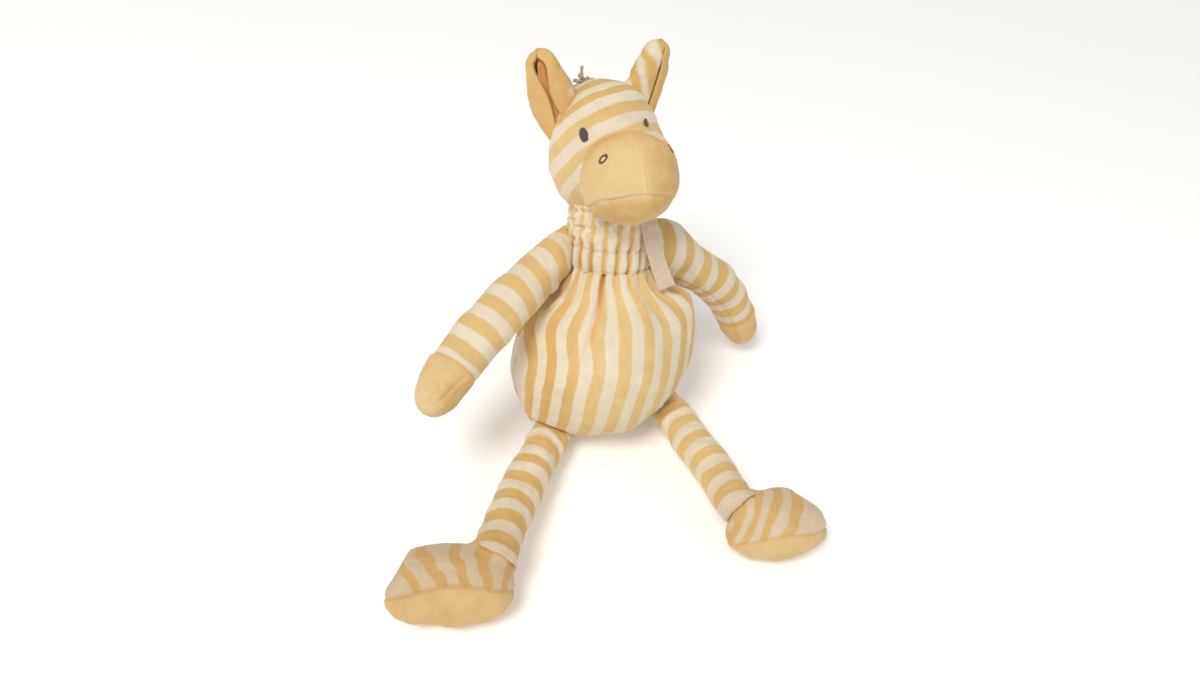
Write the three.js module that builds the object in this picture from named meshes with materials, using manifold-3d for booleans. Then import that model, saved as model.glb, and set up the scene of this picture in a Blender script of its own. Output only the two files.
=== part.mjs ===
// Sitting plush zebra in striped velour, millimetres, +Z up.
// The toy sits on the flattened seat of its round body, leaning back a little,
// with its legs stretched forward (-Y) and its arms hanging out to the sides.
// Its own right side is -X. The origin is the middle of the flat seat.
import * as THREE from 'three';
import { mergeVertices } from 'three/addons/utils/BufferGeometryUtils.js';
import Module from 'manifold-3d';

const wasm = await Module();
wasm.setup();
const { Manifold, Mesh: ManifoldMesh } = wasm;

// ------------------------------------------------------------ dimensions
const SKIN = 1.5;                 // velour skin, pile included
const GAP = 0.3;                  // space left between touching pieces
const SOCKET = 0.45;              // clearance of a ball-shaped end in its socket

const BODY_CENTRE = [0, 0, 52.5];
const BODY_R = [61, 58, 58];      // half sizes of the round body
const LEAN_BACK = 18, LEAN_SIDE = 8;

const NECK_PIVOT_Z = 56;          // heights along the leaning body axis
const NECK_TOP_Z = 84;
const NECK_R = 28.2, NECK_TOP_R = 27.5;
const NECK_SKIRT_Z = 38, NECK_COLLAR_Z = 104;
const THREAD_R = 0.5, THREAD_Z = [65.5, 79.5];

const HEAD_AT = [-5, 2, 141];     // in the body frame
const HEAD_R = [36, 42, 41];
const HEAD_ROLL = -10, HEAD_YAW = -5;
const MUZZLE_AT = [0.5, -38, -10];  // in the head frame
const MUZZLE_R = [30, 31, 29];
const FACE_SEAM = { at: [0, -44.8, 16], normal: [-0.195, -0.974, -0.117] };
const MOUTH_SEAM = { at: [0, -68.6, -14], normal: [0, -0.418, -0.908] };
const NOSE_SEAM_X = 2.5;          // the muzzle's middle seam

const EYE = { right: [-21.7, -29, 16.3], left: [16, -32.8, 17.9], a: 3.0, b: 4.5 };
const NOSTRIL = { right: [-18.3, -53.9, 7], left: [23.3, -51, 6], r: 2.9, w: 0.8 };

const EAR_BASE = [27, 4, 25.5], EAR_TIP = [41, 5, 61];   // in the head frame
const EAR_TURN = 50;              // how far the opening looks to the side
const EAR_SOCKET_R = 12.2;         // half width of the folded root
const EAR_SKIN = 1.6;

const MANE = { from: 62, to: 182, height: 8, width: 5 }; // degrees over the head

const SHOULDER_AT = [40.5, 3, 60];   // in the body frame, mirrored in X
const ARM_END_R = 10.8, ARM_R = 15, HAND_R = 15.2;
const HAND_RIGHT = [-121, -35.8, 86], HAND_LEFT = [124.4, 21.7, 22.4];
const WRIST_S = 0.83;             // where the plain hand starts along the arm

const HIP_RIGHT = [-40.5, -24.2, 14.5], HIP_LEFT = [39, -21.7, 15.2];
const ANKLE_RIGHT = [-109.7, -117, 30], ANKLE_LEFT = [38.2, -130.5, 32.5];
const HIP_R = 9.5, LEG_R = 12, ANKLE_R = 12.4;
const SPLAY_ROOM = [-5, 12, 30];   // degrees of sideways swing the belly leaves free

const FOOT_RIGHT = { at: [-139.8, -124.5, 20.4], yaw: 163, tilt: 50, half: [36, 18.8, 21.6] };   // half length, width and height
const FOOT_LEFT = { at: [60.2, -147.9, 20.9], yaw: -12, tilt: 38, half: [34, 18.8, 21.6] };
const SOLE_AT = 6;                // sole seam below the foot's middle

const LABEL = { top: [14.1, -29, 98.6], end: [30.5, -29.5, 56], facing: [-0.26, -0.966, 0], w: 10.5, t: 0.7 };

const TAIL_ROOT = [0, 55.5, -18]; // in the body frame
const TAIL_PATH = [[-4, 62, 14], [-6, 84, 8.5]];
const TAIL_R = 4, TUFT_R = 6;

// --------------------------------------------------------------- colours
const YELLOW = 0xe8c882, STRIPE = 0xeacf93, CREAM = 0xebdcc3, FILL = 0xf4f1ea;
const EYE_THREAD = 0x5f5050, NOSTRIL_THREAD = 0x644b32, TAPE = 0xc8b4a0, CORD = 0xa09173;
const cloth = (color) => new THREE.MeshStandardMaterial({ color, roughness: 0.95, metalness: 0 });

// --------------------------------------------------------------- helpers
const V = (p) => new THREE.Vector3(...p);
const rad = THREE.MathUtils.degToRad;

function solid(geometry) {
  const g = geometry.clone();
  g.deleteAttribute('normal');
  g.deleteAttribute('uv');
  const m = mergeVertices(g, 1e-4);
  return new Manifold(new ManifoldMesh({
    numProp: 3,
    vertProperties: new Float32Array(m.attributes.position.array),
    triVerts: new Uint32Array(m.index.array),
  }));
}

function geometryOf(manifold) {
  const m = manifold.getMesh();
  const p = new Float32Array(m.numVert * 3);
  for (let i = 0; i < m.numVert; i++) {
    for (let k = 0; k < 3; k++) p[3 * i + k] = m.vertProperties[i * m.numProp + k];
  }
  const g = new THREE.BufferGeometry();
  g.setAttribute('position', new THREE.BufferAttribute(p, 3));
  g.setIndex(Array.from(m.triVerts));
  g.computeVertexNormals();
  return g;
}

// A closed surface from rings of points with a single point at each end.
function ringsToSolid(rings, start, end) {
  const n = rings[0].length, pos = [], idx = [];
  rings.forEach((r) => r.forEach((p) => pos.push(p.x, p.y, p.z)));
  const a = rings.length * n, b = a + 1;
  pos.push(start.x, start.y, start.z, end.x, end.y, end.z);
  for (let j = 0; j < n; j++) {
    const k = (j + 1) % n;
    idx.push(a, k, j);
    idx.push(b, (rings.length - 1) * n + j, (rings.length - 1) * n + k);
    for (let i = 0; i + 1 < rings.length; i++) {
      const p = i * n + j, q = i * n + k, r = p + n, s = q + n;
      idx.push(p, q, s, p, s, r);
    }
  }
  return oriented(pos, idx);
}

function oriented(pos, idx) {
  let volume = 0;
  const P = (i) => new THREE.Vector3(pos[3 * i], pos[3 * i + 1], pos[3 * i + 2]);
  for (let i = 0; i < idx.length; i += 3) {
    volume += P(idx[i]).dot(P(idx[i + 1]).cross(P(idx[i + 2])));
  }
  if (volume < 0) for (let i = 0; i < idx.length; i += 3) [idx[i + 1], idx[i + 2]] = [idx[i + 2], idx[i + 1]];
  const g = new THREE.BufferGeometry();
  g.setAttribute('position', new THREE.Float32BufferAttribute(pos, 3));
  g.setIndex(idx);
  return solid(g);
}

function ellipsoid(centre, radii, matrix, inset = 0, w = 22, h = 12) {
  const g = new THREE.SphereGeometry(1, w, h);
  g.rotateX(Math.PI / 2);
  g.scale(radii[0] - inset, radii[1] - inset, radii[2] - inset);
  g.translate(...centre);
  if (matrix) g.applyMatrix4(matrix);
  return solid(g);
}

const ball = (centre, r, w = 12, h = 8) => ellipsoid([centre.x, centre.y, centre.z], [r, r, r], null, 0, w, h);

// Everything on the side of the plane that the normal points to.
function halfSpace(point, normal) {
  const size = 800, n = normal.clone().normalize();
  const g = new THREE.BoxGeometry(size, size, size);
  g.translate(0, 0, size / 2);
  g.applyQuaternion(new THREE.Quaternion().setFromUnitVectors(new THREE.Vector3(0, 0, 1), n));
  g.translate(point.x, point.y, point.z);
  return solid(g);
}

// The two sides of a seam plane, with the usual space between them.
function seam(shape, point, normal) {
  const n = normal.clone().normalize();
  const ahead = shape.intersect(halfSpace(point.clone().addScaledVector(n, GAP / 2), n));
  const behind = shape.intersect(halfSpace(point.clone().addScaledVector(n, -GAP / 2), n.clone().negate()));
  return [ahead, behind];
}

// A limb: a round section swept along a curve, with half-ball ends.
function limb(curve, radius, inset = 0, sides = 12, steps = 5, cap = 3) {
  const f = curve.computeFrenetFrames(steps, false), rings = [];
  const ring = (c, N, B, r) => Array.from({ length: sides }, (_, j) => {
    const a = (2 * Math.PI * j) / sides;
    return c.clone().addScaledVector(N, r * Math.cos(a)).addScaledVector(B, r * Math.sin(a));
  });
  const r0 = radius(0) - inset, r1 = radius(1) - inset;
  const p0 = curve.getPointAt(0), p1 = curve.getPointAt(1);
  const t0 = f.tangents[0], t1 = f.tangents[steps];
  for (let i = 1; i < cap; i++) {
    const a = (Math.PI / 2) * (i / cap);
    rings.push(ring(p0.clone().addScaledVector(t0, -r0 * Math.cos(a)), f.normals[0], f.binormals[0], r0 * Math.sin(a)));
  }
  for (let i = 0; i <= steps; i++) {
    rings.push(ring(curve.getPointAt(i / steps), f.normals[i], f.binormals[i], radius(i / steps) - inset));
  }
  for (let i = cap - 1; i > 0; i--) {
    const a = (Math.PI / 2) * (i / cap);
    rings.push(ring(p1.clone().addScaledVector(t1, r1 * Math.cos(a)), f.normals[steps], f.binormals[steps], r1 * Math.sin(a)));
  }
  return ringsToSolid(rings, p0.clone().addScaledVector(t0, -r0), p1.clone().addScaledVector(t1, r1));
}

// A thin curved sheet between two offsets of a surface.
function sheet(fn, nu, nv, low, high) {
  const pos = [], idx = [], e = 1e-3, N = (nu + 1) * (nv + 1);
  for (const off of [low, high]) {
    for (let i = 0; i <= nu; i++) {
      for (let j = 0; j <= nv; j++) {
        const u = i / nu, v = j / nv;
        const du = fn(Math.min(u + e, 1), v).sub(fn(Math.max(u - e, 0), v));
        const dv = fn(u, Math.min(v + e, 1)).sub(fn(u, Math.max(v - e, 0)));
        const p = fn(u, v).addScaledVector(du.cross(dv).normalize(), off);
        pos.push(p.x, p.y, p.z);
      }
    }
  }
  const at = (s, i, j) => s * N + i * (nv + 1) + j;
  for (let i = 0; i < nu; i++) {
    for (let j = 0; j < nv; j++) {
      const [a, b, c, d] = [at(1, i, j), at(1, i + 1, j), at(1, i + 1, j + 1), at(1, i, j + 1)];
      idx.push(a, b, c, a, c, d);
      const [e2, f2, g2, h2] = [at(0, i, j), at(0, i + 1, j), at(0, i + 1, j + 1), at(0, i, j + 1)];
      idx.push(e2, g2, f2, e2, h2, g2);
    }
  }
  const wall = (s0, s1) => idx.push(at(0, ...s0), at(0, ...s1), at(1, ...s1), at(0, ...s0), at(1, ...s1), at(1, ...s0));
  for (let i = 0; i < nu; i++) { wall([i, 0], [i + 1, 0]); wall([i + 1, nv], [i, nv]); }
  for (let j = 0; j < nv; j++) { wall([0, j + 1], [0, j]); wall([nu, j], [nu, j + 1]); }
  return oriented(pos, idx);
}

// An embroidered patch lying on a surface: an oval, or a ring if inner > 0.
function patch(fn, inner, sectors, low, high) {
  const pos = [], idx = [];
  const radii = inner > 0 ? [inner, 1] : [0.5, 1];
  for (const off of [low, high]) {
    for (const r of radii) {
      for (let k = 0; k < sectors; k++) {
        const a = (2 * Math.PI * k) / sectors;
        const p = fn(r * Math.cos(a), r * Math.sin(a), off);
        pos.push(p.x, p.y, p.z);
      }
    }
  }
  const at = (s, r, k) => (s * 2 + r) * sectors + (k % sectors);
  const c0 = 4 * sectors, c1 = c0 + 1;
  if (!(inner > 0)) { const p = fn(0, 0, low), q = fn(0, 0, high); pos.push(p.x, p.y, p.z, q.x, q.y, q.z); }
  for (let k = 0; k < sectors; k++) {
    idx.push(at(1, 0, k), at(1, 1, k), at(1, 1, k + 1), at(1, 0, k), at(1, 1, k + 1), at(1, 0, k + 1));
    idx.push(at(0, 0, k), at(0, 1, k + 1), at(0, 1, k), at(0, 0, k), at(0, 0, k + 1), at(0, 1, k + 1));
    idx.push(at(0, 1, k), at(0, 1, k + 1), at(1, 1, k + 1), at(0, 1, k), at(1, 1, k + 1), at(1, 1, k));
    if (inner > 0) idx.push(at(0, 0, k), at(1, 0, k + 1), at(0, 0, k + 1), at(0, 0, k), at(1, 0, k), at(1, 0, k + 1));
    else idx.push(c1, at(1, 0, k), at(1, 0, k + 1), c0, at(0, 0, k + 1), at(0, 0, k));
  }
  return oriented(pos, idx);
}

// A joint frame: its local X axis is the hinge axis.
function jointFrame(name, pivot, axis, parent) {
  const x = axis.clone().normalize();
  const y = new THREE.Vector3(0, 0, 1).cross(x);
  if (y.length() < 0.2) y.set(0, 1, 0).cross(x);
  y.normalize();
  const world = new THREE.Matrix4().makeBasis(x, y, x.clone().cross(y)).setPosition(pivot);
  const g = new THREE.Group();
  g.name = name;
  parent.updateWorldMatrix(true, false);
  g.applyMatrix4(parent.matrixWorld.clone().invert().multiply(world));
  parent.add(g);
  g.updateWorldMatrix(true, false);
  return g;
}

// Hangs a piece that was shaped where it lies into the group that carries it.
function addPiece(parent, name, shape, color) {
  const g = geometryOf(shape);
  parent.updateWorldMatrix(true, false);
  g.applyMatrix4(parent.matrixWorld.clone().invert());
  const mesh = new THREE.Mesh(g, cloth(color));
  mesh.name = name;
  parent.add(mesh);
  return mesh;
}

// ---------------------------------------------------------------- frames
const tilt = rad(LEAN_SIDE), lean = rad(LEAN_BACK);
const up = V([Math.sin(tilt), Math.sin(lean) * Math.cos(tilt), Math.cos(lean) * Math.cos(tilt)]);
const side = V([1, 0, 0]).addScaledVector(up, -up.x).normalize();
const back = up.clone().cross(side);
const bodyFrame = new THREE.Matrix4().makeBasis(side, back, up).setPosition(...BODY_CENTRE);
const headFrame = bodyFrame.clone()
  .multiply(new THREE.Matrix4().makeTranslation(...HEAD_AT))
  .multiply(new THREE.Matrix4().makeRotationY(rad(HEAD_ROLL)))
  .multiply(new THREE.Matrix4().makeRotationZ(rad(HEAD_YAW)));
const inBody = (p) => V(p).applyMatrix4(bodyFrame);
const inHead = (p) => V(p).applyMatrix4(headFrame);
const headDir = (p) => V(p).transformDirection(headFrame);
const bodyDir = (p) => V(p).transformDirection(bodyFrame);

const root = new THREE.Group();
root.name = 'zebra';
const torso = new THREE.Group();
torso.name = 'torso';
torso.applyMatrix4(bodyFrame);
root.add(torso);
torso.updateWorldMatrix(true, false);

// ----------------------------------------------------------------- limbs
const lerp = (a, b, t) => a + (b - a) * Math.min(Math.max(t, 0), 1);
const armRadius = (s) => (s < 0.25 ? lerp(ARM_END_R, ARM_R, s / 0.25) : lerp(ARM_R, HAND_R, (s - 0.25) / 0.75));
const legRadius = (s) => (s < 0.18 ? lerp(HIP_R, LEG_R, s / 0.18) : lerp(LEG_R, ANKLE_R, (s - 0.18) / 0.82));
const bow = (a, b, lift) => new THREE.QuadraticBezierCurve3(a, a.clone().add(b).multiplyScalar(0.5).add(V(lift)), b);

const limbs = {
  arm_right: { curve: bow(inBody([-SHOULDER_AT[0], SHOULDER_AT[1], SHOULDER_AT[2]]), V(HAND_RIGHT), [-3, 2, 12]), r: armRadius },
  arm_left: { curve: bow(inBody(SHOULDER_AT), V(HAND_LEFT), [11, 1, 32]), r: armRadius },
  leg_right: { curve: bow(V(HIP_RIGHT), V(ANKLE_RIGHT), [0, 0, 1]), r: legRadius },
  leg_left: { curve: bow(V(HIP_LEFT), V(ANKLE_LEFT), [0, 0, 1]), r: legRadius },
};

// ----------------------------------------------------------------- torso
const floor = halfSpace(V([0, 0, 0]), V([0, 0, 1]));
const innerFloor = halfSpace(V([0, 0, SKIN]), V([0, 0, 1]));
const fillFloor = halfSpace(V([0, 0, SKIN + GAP]), V([0, 0, 1]));
const bodyAt = [0, 0, 1];
const bodyOuter = ellipsoid(bodyAt, BODY_R, bodyFrame).intersect(floor);
const bodyInner = ellipsoid(bodyAt, BODY_R, bodyFrame, SKIN, 16, 10).intersect(innerFloor);
const bodyFill = ellipsoid(bodyAt, BODY_R, bodyFrame, SKIN + GAP, 16, 10).intersect(fillFloor);

const neckAxis = bodyDir([0, 0, 1]);
const neckPivot = inBody([0, 0, NECK_PIVOT_Z]);
const tailRoot = inBody(TAIL_ROOT);
const REACH = { arm_right: [20, 13.4], arm_left: [18, 13.2] };

// Everything the body leaves free: the round ends held in it, and beside the
// belly the room for each limb's first stretch as it swings.
function sockets(extra, w, h) {
  let all = ball(neckPivot, NECK_R + SOCKET + 0.35 + extra, extra ? 14 : 20, extra ? 8 : 12);
  for (const [key, { curve, r }] of Object.entries(limbs)) {
    const start = curve.getPointAt(0);
    all = all.add(ball(start, r(0) + SOCKET + extra, w, h));
    if (REACH[key]) {
      all = all.add(ball(curve.getPointAt(REACH[key][0] / curve.getLength()), REACH[key][1] + extra, w, h));
    } else {
      for (const a of SPLAY_ROOM) {
        const way = curve.getTangentAt(0).applyAxisAngle(V([0, 0, 1]), rad(key === 'leg_left' ? a : -a));
        const line = new THREE.LineCurve3(start, start.clone().addScaledVector(way, 60));
        all = all.add(limb(line, (s) => lerp(HIP_R, LEG_R, s * 2) + 1.2 + extra, 0, w, 2, 2));
      }
    }
  }
  return all.add(ball(tailRoot, TAIL_R + SOCKET + extra, 10, 6))
    .add(ball(tailRoot.clone().add(V([-1, 6, 1])), TAIL_R + 1.4 + extra, 10, 6));
}

const bodySkin = bodyOuter.subtract(bodyInner).subtract(sockets(0, 12, 8));
const [bodyFront, bodyBack] = seam(bodySkin, inBody([0, 0, 0]), bodyDir([0, -1, 0]));
addPiece(torso, 'body_front_panel', bodyFront, STRIPE);
addPiece(torso, 'body_back_panel', bodyBack, STRIPE);
addPiece(torso, 'body_stuffing', bodyFill.subtract(sockets(0.7, 8, 6)), FILL);

// ------------------------------------------------------------------ neck
// One profile gives the outside; insets of it give the lining faces.
function neckProfile(inset) {
  const pts = [], r0 = NECK_R - inset, r1 = NECK_TOP_R - inset, steps = inset > 0 ? 4 : 5;
  for (let i = 0; i <= steps; i++) {
    const a = (Math.PI / 2) * (i / steps);
    pts.push(new THREE.Vector2(r0 * Math.sin(a), NECK_PIVOT_Z - r0 * Math.cos(a)));
  }
  for (let i = 0; i <= steps; i++) {
    const a = (Math.PI / 2) * (i / steps);
    pts.push(new THREE.Vector2(r1 * Math.cos(a), NECK_TOP_Z + r1 * Math.sin(a)));
  }
  pts[0].x = 0;
  pts[pts.length - 1].x = 0;
  return pts;
}
const latheAlongBody = (pts, n = 20) => {
  const g = new THREE.LatheGeometry(pts, n);
  g.rotateX(Math.PI / 2);        // lathe axis Y becomes Z
  g.applyMatrix4(bodyFrame);
  return solidFromLathe(g);
};
function solidFromLathe(g) {
  const c = g.clone();
  c.deleteAttribute('normal');
  c.deleteAttribute('uv');
  const m = mergeVertices(c, 1e-4), idx = [];
  const src = m.index.array;
  for (let i = 0; i < src.length; i += 3) {
    if (src[i] !== src[i + 1] && src[i + 1] !== src[i + 2] && src[i] !== src[i + 2]) idx.push(src[i], src[i + 1], src[i + 2]);
  }
  return oriented(Array.from(m.attributes.position.array), idx);
}

const neck = jointFrame('neck_joint', neckPivot, bodyDir([1, 0, 0]), torso);
const neckOuter = latheAlongBody(neckProfile(0));
const neckTube = neckOuter.subtract(latheAlongBody(neckProfile(SKIN)))
  .intersect(halfSpace(inBody([0, 0, NECK_SKIRT_Z]), neckAxis))
  .intersect(halfSpace(inBody([0, 0, NECK_COLLAR_Z]), neckAxis.clone().negate()));
addPiece(neck, 'neck_gathered_sleeve', neckTube, CREAM);
addPiece(neck, 'neck_stuffing', latheAlongBody(neckProfile(SKIN + GAP)), FILL);

THREAD_Z.forEach((z, i) => {
  const r = lerp(NECK_R, NECK_TOP_R, (z - NECK_PIVOT_Z) / (NECK_TOP_Z - NECK_PIVOT_Z)) + GAP + THREAD_R;
  const g = new THREE.TorusGeometry(r, THREAD_R, 4, 24);
  g.translate(0, 0, z);
  g.applyMatrix4(bodyFrame);
  addPiece(neck, ['shirring_thread_lower', 'shirring_thread_upper'][i], solid(g), CREAM);
});

// ------------------------------------------------------------- neck label
const labelTop = inBody(LABEL.top), labelEnd = inBody(LABEL.end);
const down = labelEnd.clone().sub(labelTop);
const labelLength = down.length();
down.normalize();
const outward = bodyDir(LABEL.facing);
outward.addScaledVector(down, -outward.dot(down)).normalize();
const across = outward.clone().cross(down).normalize();
const label = jointFrame('label_joint', labelTop, across.clone().negate(), neck);
const labelBox = new THREE.BoxGeometry(LABEL.w, labelLength, LABEL.t, 1, 6, 1);
labelBox.translate(0, labelLength / 2, 0);
labelBox.applyMatrix4(new THREE.Matrix4().makeBasis(across, down, across.clone().cross(down)).setPosition(labelTop));
addPiece(label, 'label_tape', solid(labelBox), TAPE);

// ------------------------------------------------------------------ head
const head = jointFrame('head_joint', inBody([0, 0, NECK_TOP_Z]), neckAxis, neck);
const headShape = (inset) => ellipsoid([0, 0, 0], HEAD_R, headFrame, inset, inset > 0 ? 14 : 20, inset > 0 ? 9 : 12)
  .add(ellipsoid(MUZZLE_AT, MUZZLE_R, headFrame, inset, inset > 0 ? 14 : 18, inset > 0 ? 8 : 10));

// The neck's round top turns inside this hollow, and the chin clears its side.
const hollowPoints = [new THREE.Vector2(0, 40), new THREE.Vector2(NECK_R + 1.2, 40), new THREE.Vector2(NECK_R + 1.2, NECK_TOP_Z)];
for (let i = 0; i <= 8; i++) {
  const a = (Math.PI / 2) * (i / 8), r = NECK_TOP_R + SOCKET + 0.2;
  hollowPoints.push(new THREE.Vector2(i === 8 ? 0 : r * Math.cos(a), NECK_TOP_Z + r * Math.sin(a)));
}
const neckHollow = latheAlongBody(hollowPoints, 20);
const earFrames = {};
let earSockets = null;
for (const [key, s] of [['right', -1], ['left', 1]]) {
  const b = inHead([s * EAR_BASE[0], EAR_BASE[1], EAR_BASE[2]]);
  const t = inHead([s * EAR_TIP[0], EAR_TIP[1], EAR_TIP[2]]);
  const long = t.clone().sub(b).normalize();
  const face = headDir([s * Math.sin(rad(EAR_TURN)), -Math.cos(rad(EAR_TURN)), 0]);
  face.addScaledVector(long, -face.dot(long)).normalize();
  earFrames[key] = { s, base: b, long, face, wide: long.clone().cross(face).normalize(), length: t.distanceTo(b) };
  const sock = ball(b, EAR_SOCKET_R + SOCKET, 12, 8);
  earSockets = earSockets ? earSockets.add(sock) : sock;
}

const facePoint = inHead(FACE_SEAM.at), faceNormal = headDir(FACE_SEAM.normal);
const mouthPoint = inHead(MOUTH_SEAM.at), mouthNormal = headDir(MOUTH_SEAM.normal);
const headSkin = headShape(0).subtract(headShape(SKIN)).subtract(neckHollow).subtract(earSockets);
const [muzzleSkin, headBackSkin] = seam(headSkin, facePoint, faceNormal);
const [headLeft, headRight] = seam(headBackSkin, inHead([0, 0, 0]), headDir([1, 0, 0]));
const [chin, snout] = seam(muzzleSkin, mouthPoint, mouthNormal);
const [snoutLeft, snoutRight] = seam(snout, inHead([NOSE_SEAM_X, 0, 0]), headDir([1, 0, 0]));
addPiece(head, 'head_panel_left', headLeft, STRIPE);
addPiece(head, 'head_panel_right', headRight, STRIPE);
addPiece(head, 'muzzle_panel_left', snoutLeft, YELLOW);
addPiece(head, 'muzzle_panel_right', snoutRight, YELLOW);
addPiece(head, 'chin_panel', chin, YELLOW);
addPiece(head, 'head_stuffing', headShape(SKIN + GAP).subtract(neckHollow).subtract(earSockets), FILL);

// Embroidered eyes and nostril rings follow the skin they are stitched on.
function onEllipsoid(centre, radii, point, lift) {
  const d = V(point).sub(V(centre));
  const k = Math.hypot(d.x / radii[0], d.y / radii[1], d.z / radii[2]);
  d.divideScalar(k);
  const n = new THREE.Vector3(d.x / radii[0] ** 2, d.y / radii[1] ** 2, d.z / radii[2] ** 2).normalize();
  return d.addScaledVector(n, lift).add(V(centre));
}
for (const [key, s] of [['right', -1], ['left', 1]]) {
  const eye = (x, y, off) => inHead(onEllipsoid([0, 0, 0], HEAD_R,
    [EYE[key][0] + x * EYE.a, EYE[key][1] + s * x * EYE.a * 0.7, EYE[key][2] + y * EYE.b], off).toArray());
  addPiece(head, `eye_${key}`, patch(eye, 0, 16, GAP, GAP + 1), EYE_THREAD);
}
for (const [key, s] of [['right', -1], ['left', 1]]) {
  const c = NOSTRIL[key];
  const nostril = (x, y, off) => inHead(onEllipsoid(MUZZLE_AT, MUZZLE_R,
    [c[0] + x * NOSTRIL.r * 0.8, c[1] + s * x * NOSTRIL.r * 0.55, c[2] + y * NOSTRIL.r], off).toArray());
  addPiece(head, `nostril_ring_${key}`, patch(nostril, 1 - NOSTRIL.w / NOSTRIL.r * 1.2, 16, GAP, GAP + 0.8), NOSTRIL_THREAD);
}

// Mane: one strip of cut cords over the crown and down the back of the head.
{
  const pts = [], n = 14, lift = (a) => MANE.height * Math.sin(Math.PI * (0.12 + 0.76 * a)) + 1.5;
  const at = (a, off) => {
    const t = rad(a), y = HEAD_R[1] * -Math.cos(t), z = HEAD_R[2] * Math.sin(t);
    const nrm = new THREE.Vector2(y / HEAD_R[1] ** 2, z / HEAD_R[2] ** 2).normalize();
    return new THREE.Vector2(y + nrm.x * off, z + nrm.y * off);
  };
  for (let i = 0; i <= n; i++) pts.push(at(lerp(MANE.from, MANE.to, i / n), 0.7));
  for (let i = n; i >= 0; i--) pts.push(at(lerp(MANE.from, MANE.to, i / n), 0.7 + lift(i / n)));
  const g = new THREE.ExtrudeGeometry(new THREE.Shape(pts), { depth: MANE.width, bevelEnabled: false });
  // The drawn plane (x, y) is the head's (y, z); the depth runs across the head.
  g.applyMatrix4(new THREE.Matrix4().makeBasis(V([0, 1, 0]), V([0, 0, 1]), V([1, 0, 0])).setPosition(-MANE.width / 2, 0, 0));
  g.applyMatrix4(headFrame);
  addPiece(head, 'mane_cords', solid(g), CORD);
}

// ------------------------------------------------------------------ ears
for (const [key, e] of Object.entries(earFrames)) {
  const ear = jointFrame(`ear_${key}_joint`, e.base, headDir([0, 1, 0]), head);
  const half = (u) => (u < 0.36 ? lerp(7.6, 12.2, Math.sin((u / 0.36) * Math.PI / 2)) : 12.2 * Math.sqrt(Math.max(1 - ((u - 0.36) / 0.66) ** 2.3, 0.03)));
  const surface = (u, v) => {
    const w = half(u), open = rad(lerp(88, 52, u)), a = (v * 2 - 1) * open, R = w / Math.sin(open);
    const bend = 3.5 * u * u;
    return e.base.clone()
      .addScaledVector(e.long, 1.5 + u * (e.length - 1.5))
      .addScaledVector(e.wide, R * Math.sin(a))
      .addScaledVector(e.face, -R * (Math.cos(a) - Math.cos(open)) + 4 * (1 - u) + bend);
  };
  const flip = surface(0.5, 0.5).clone(), du = surface(0.51, 0.5).sub(flip), dv = surface(0.5, 0.51).sub(flip);
  const outSide = du.cross(dv).dot(e.face) < 0 ? 1 : -1;     // the offset that points to the back of the ear
  const span = (a, b) => (outSide > 0 ? [a, b] : [-b, -a]);
  // The folded root fills its hollow in the head and turns in it.
  const root = (grow) => ball(e.base, EAR_SOCKET_R - 0.3 + grow, 12, 8).intersect(headShape(-grow));
  addPiece(ear, `ear_${key}_outer`, sheet(surface, 8, 6, ...span(GAP / 2, GAP / 2 + EAR_SKIN)).add(root(0)), STRIPE);
  addPiece(ear, `ear_${key}_lining`, sheet(surface, 8, 6, ...span(-GAP / 2 - EAR_SKIN + 0.3, -GAP / 2)).subtract(root(GAP)), YELLOW);
}

// ------------------------------------------------------------------ arms
for (const key of ['arm_right', 'arm_left']) {
  const { curve, r } = limbs[key];
  const start = curve.getPointAt(0), dir = curve.getPointAt(1).sub(start);
  const joint = jointFrame(`${key}_joint`, start, dir.clone().cross(V([0, 0, 1])), torso);
  const opening = ball(start.clone().addScaledVector(curve.getTangentAt(0), -r(0)), 4, 8, 6);
  const skin = limb(curve, r).subtract(limb(curve, r, SKIN, 10, 4, 2)).subtract(opening);
  const [hand, sleeve] = seam(skin, curve.getPointAt(WRIST_S), curve.getTangentAt(WRIST_S));
  addPiece(joint, `${key}_sleeve`, sleeve, STRIPE);
  addPiece(joint, key.replace('arm', 'hand') + '_cap', hand, YELLOW);
  addPiece(joint, `${key}_stuffing`, limb(curve, r, SKIN + GAP, 10, 4, 2), FILL);
}

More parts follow.
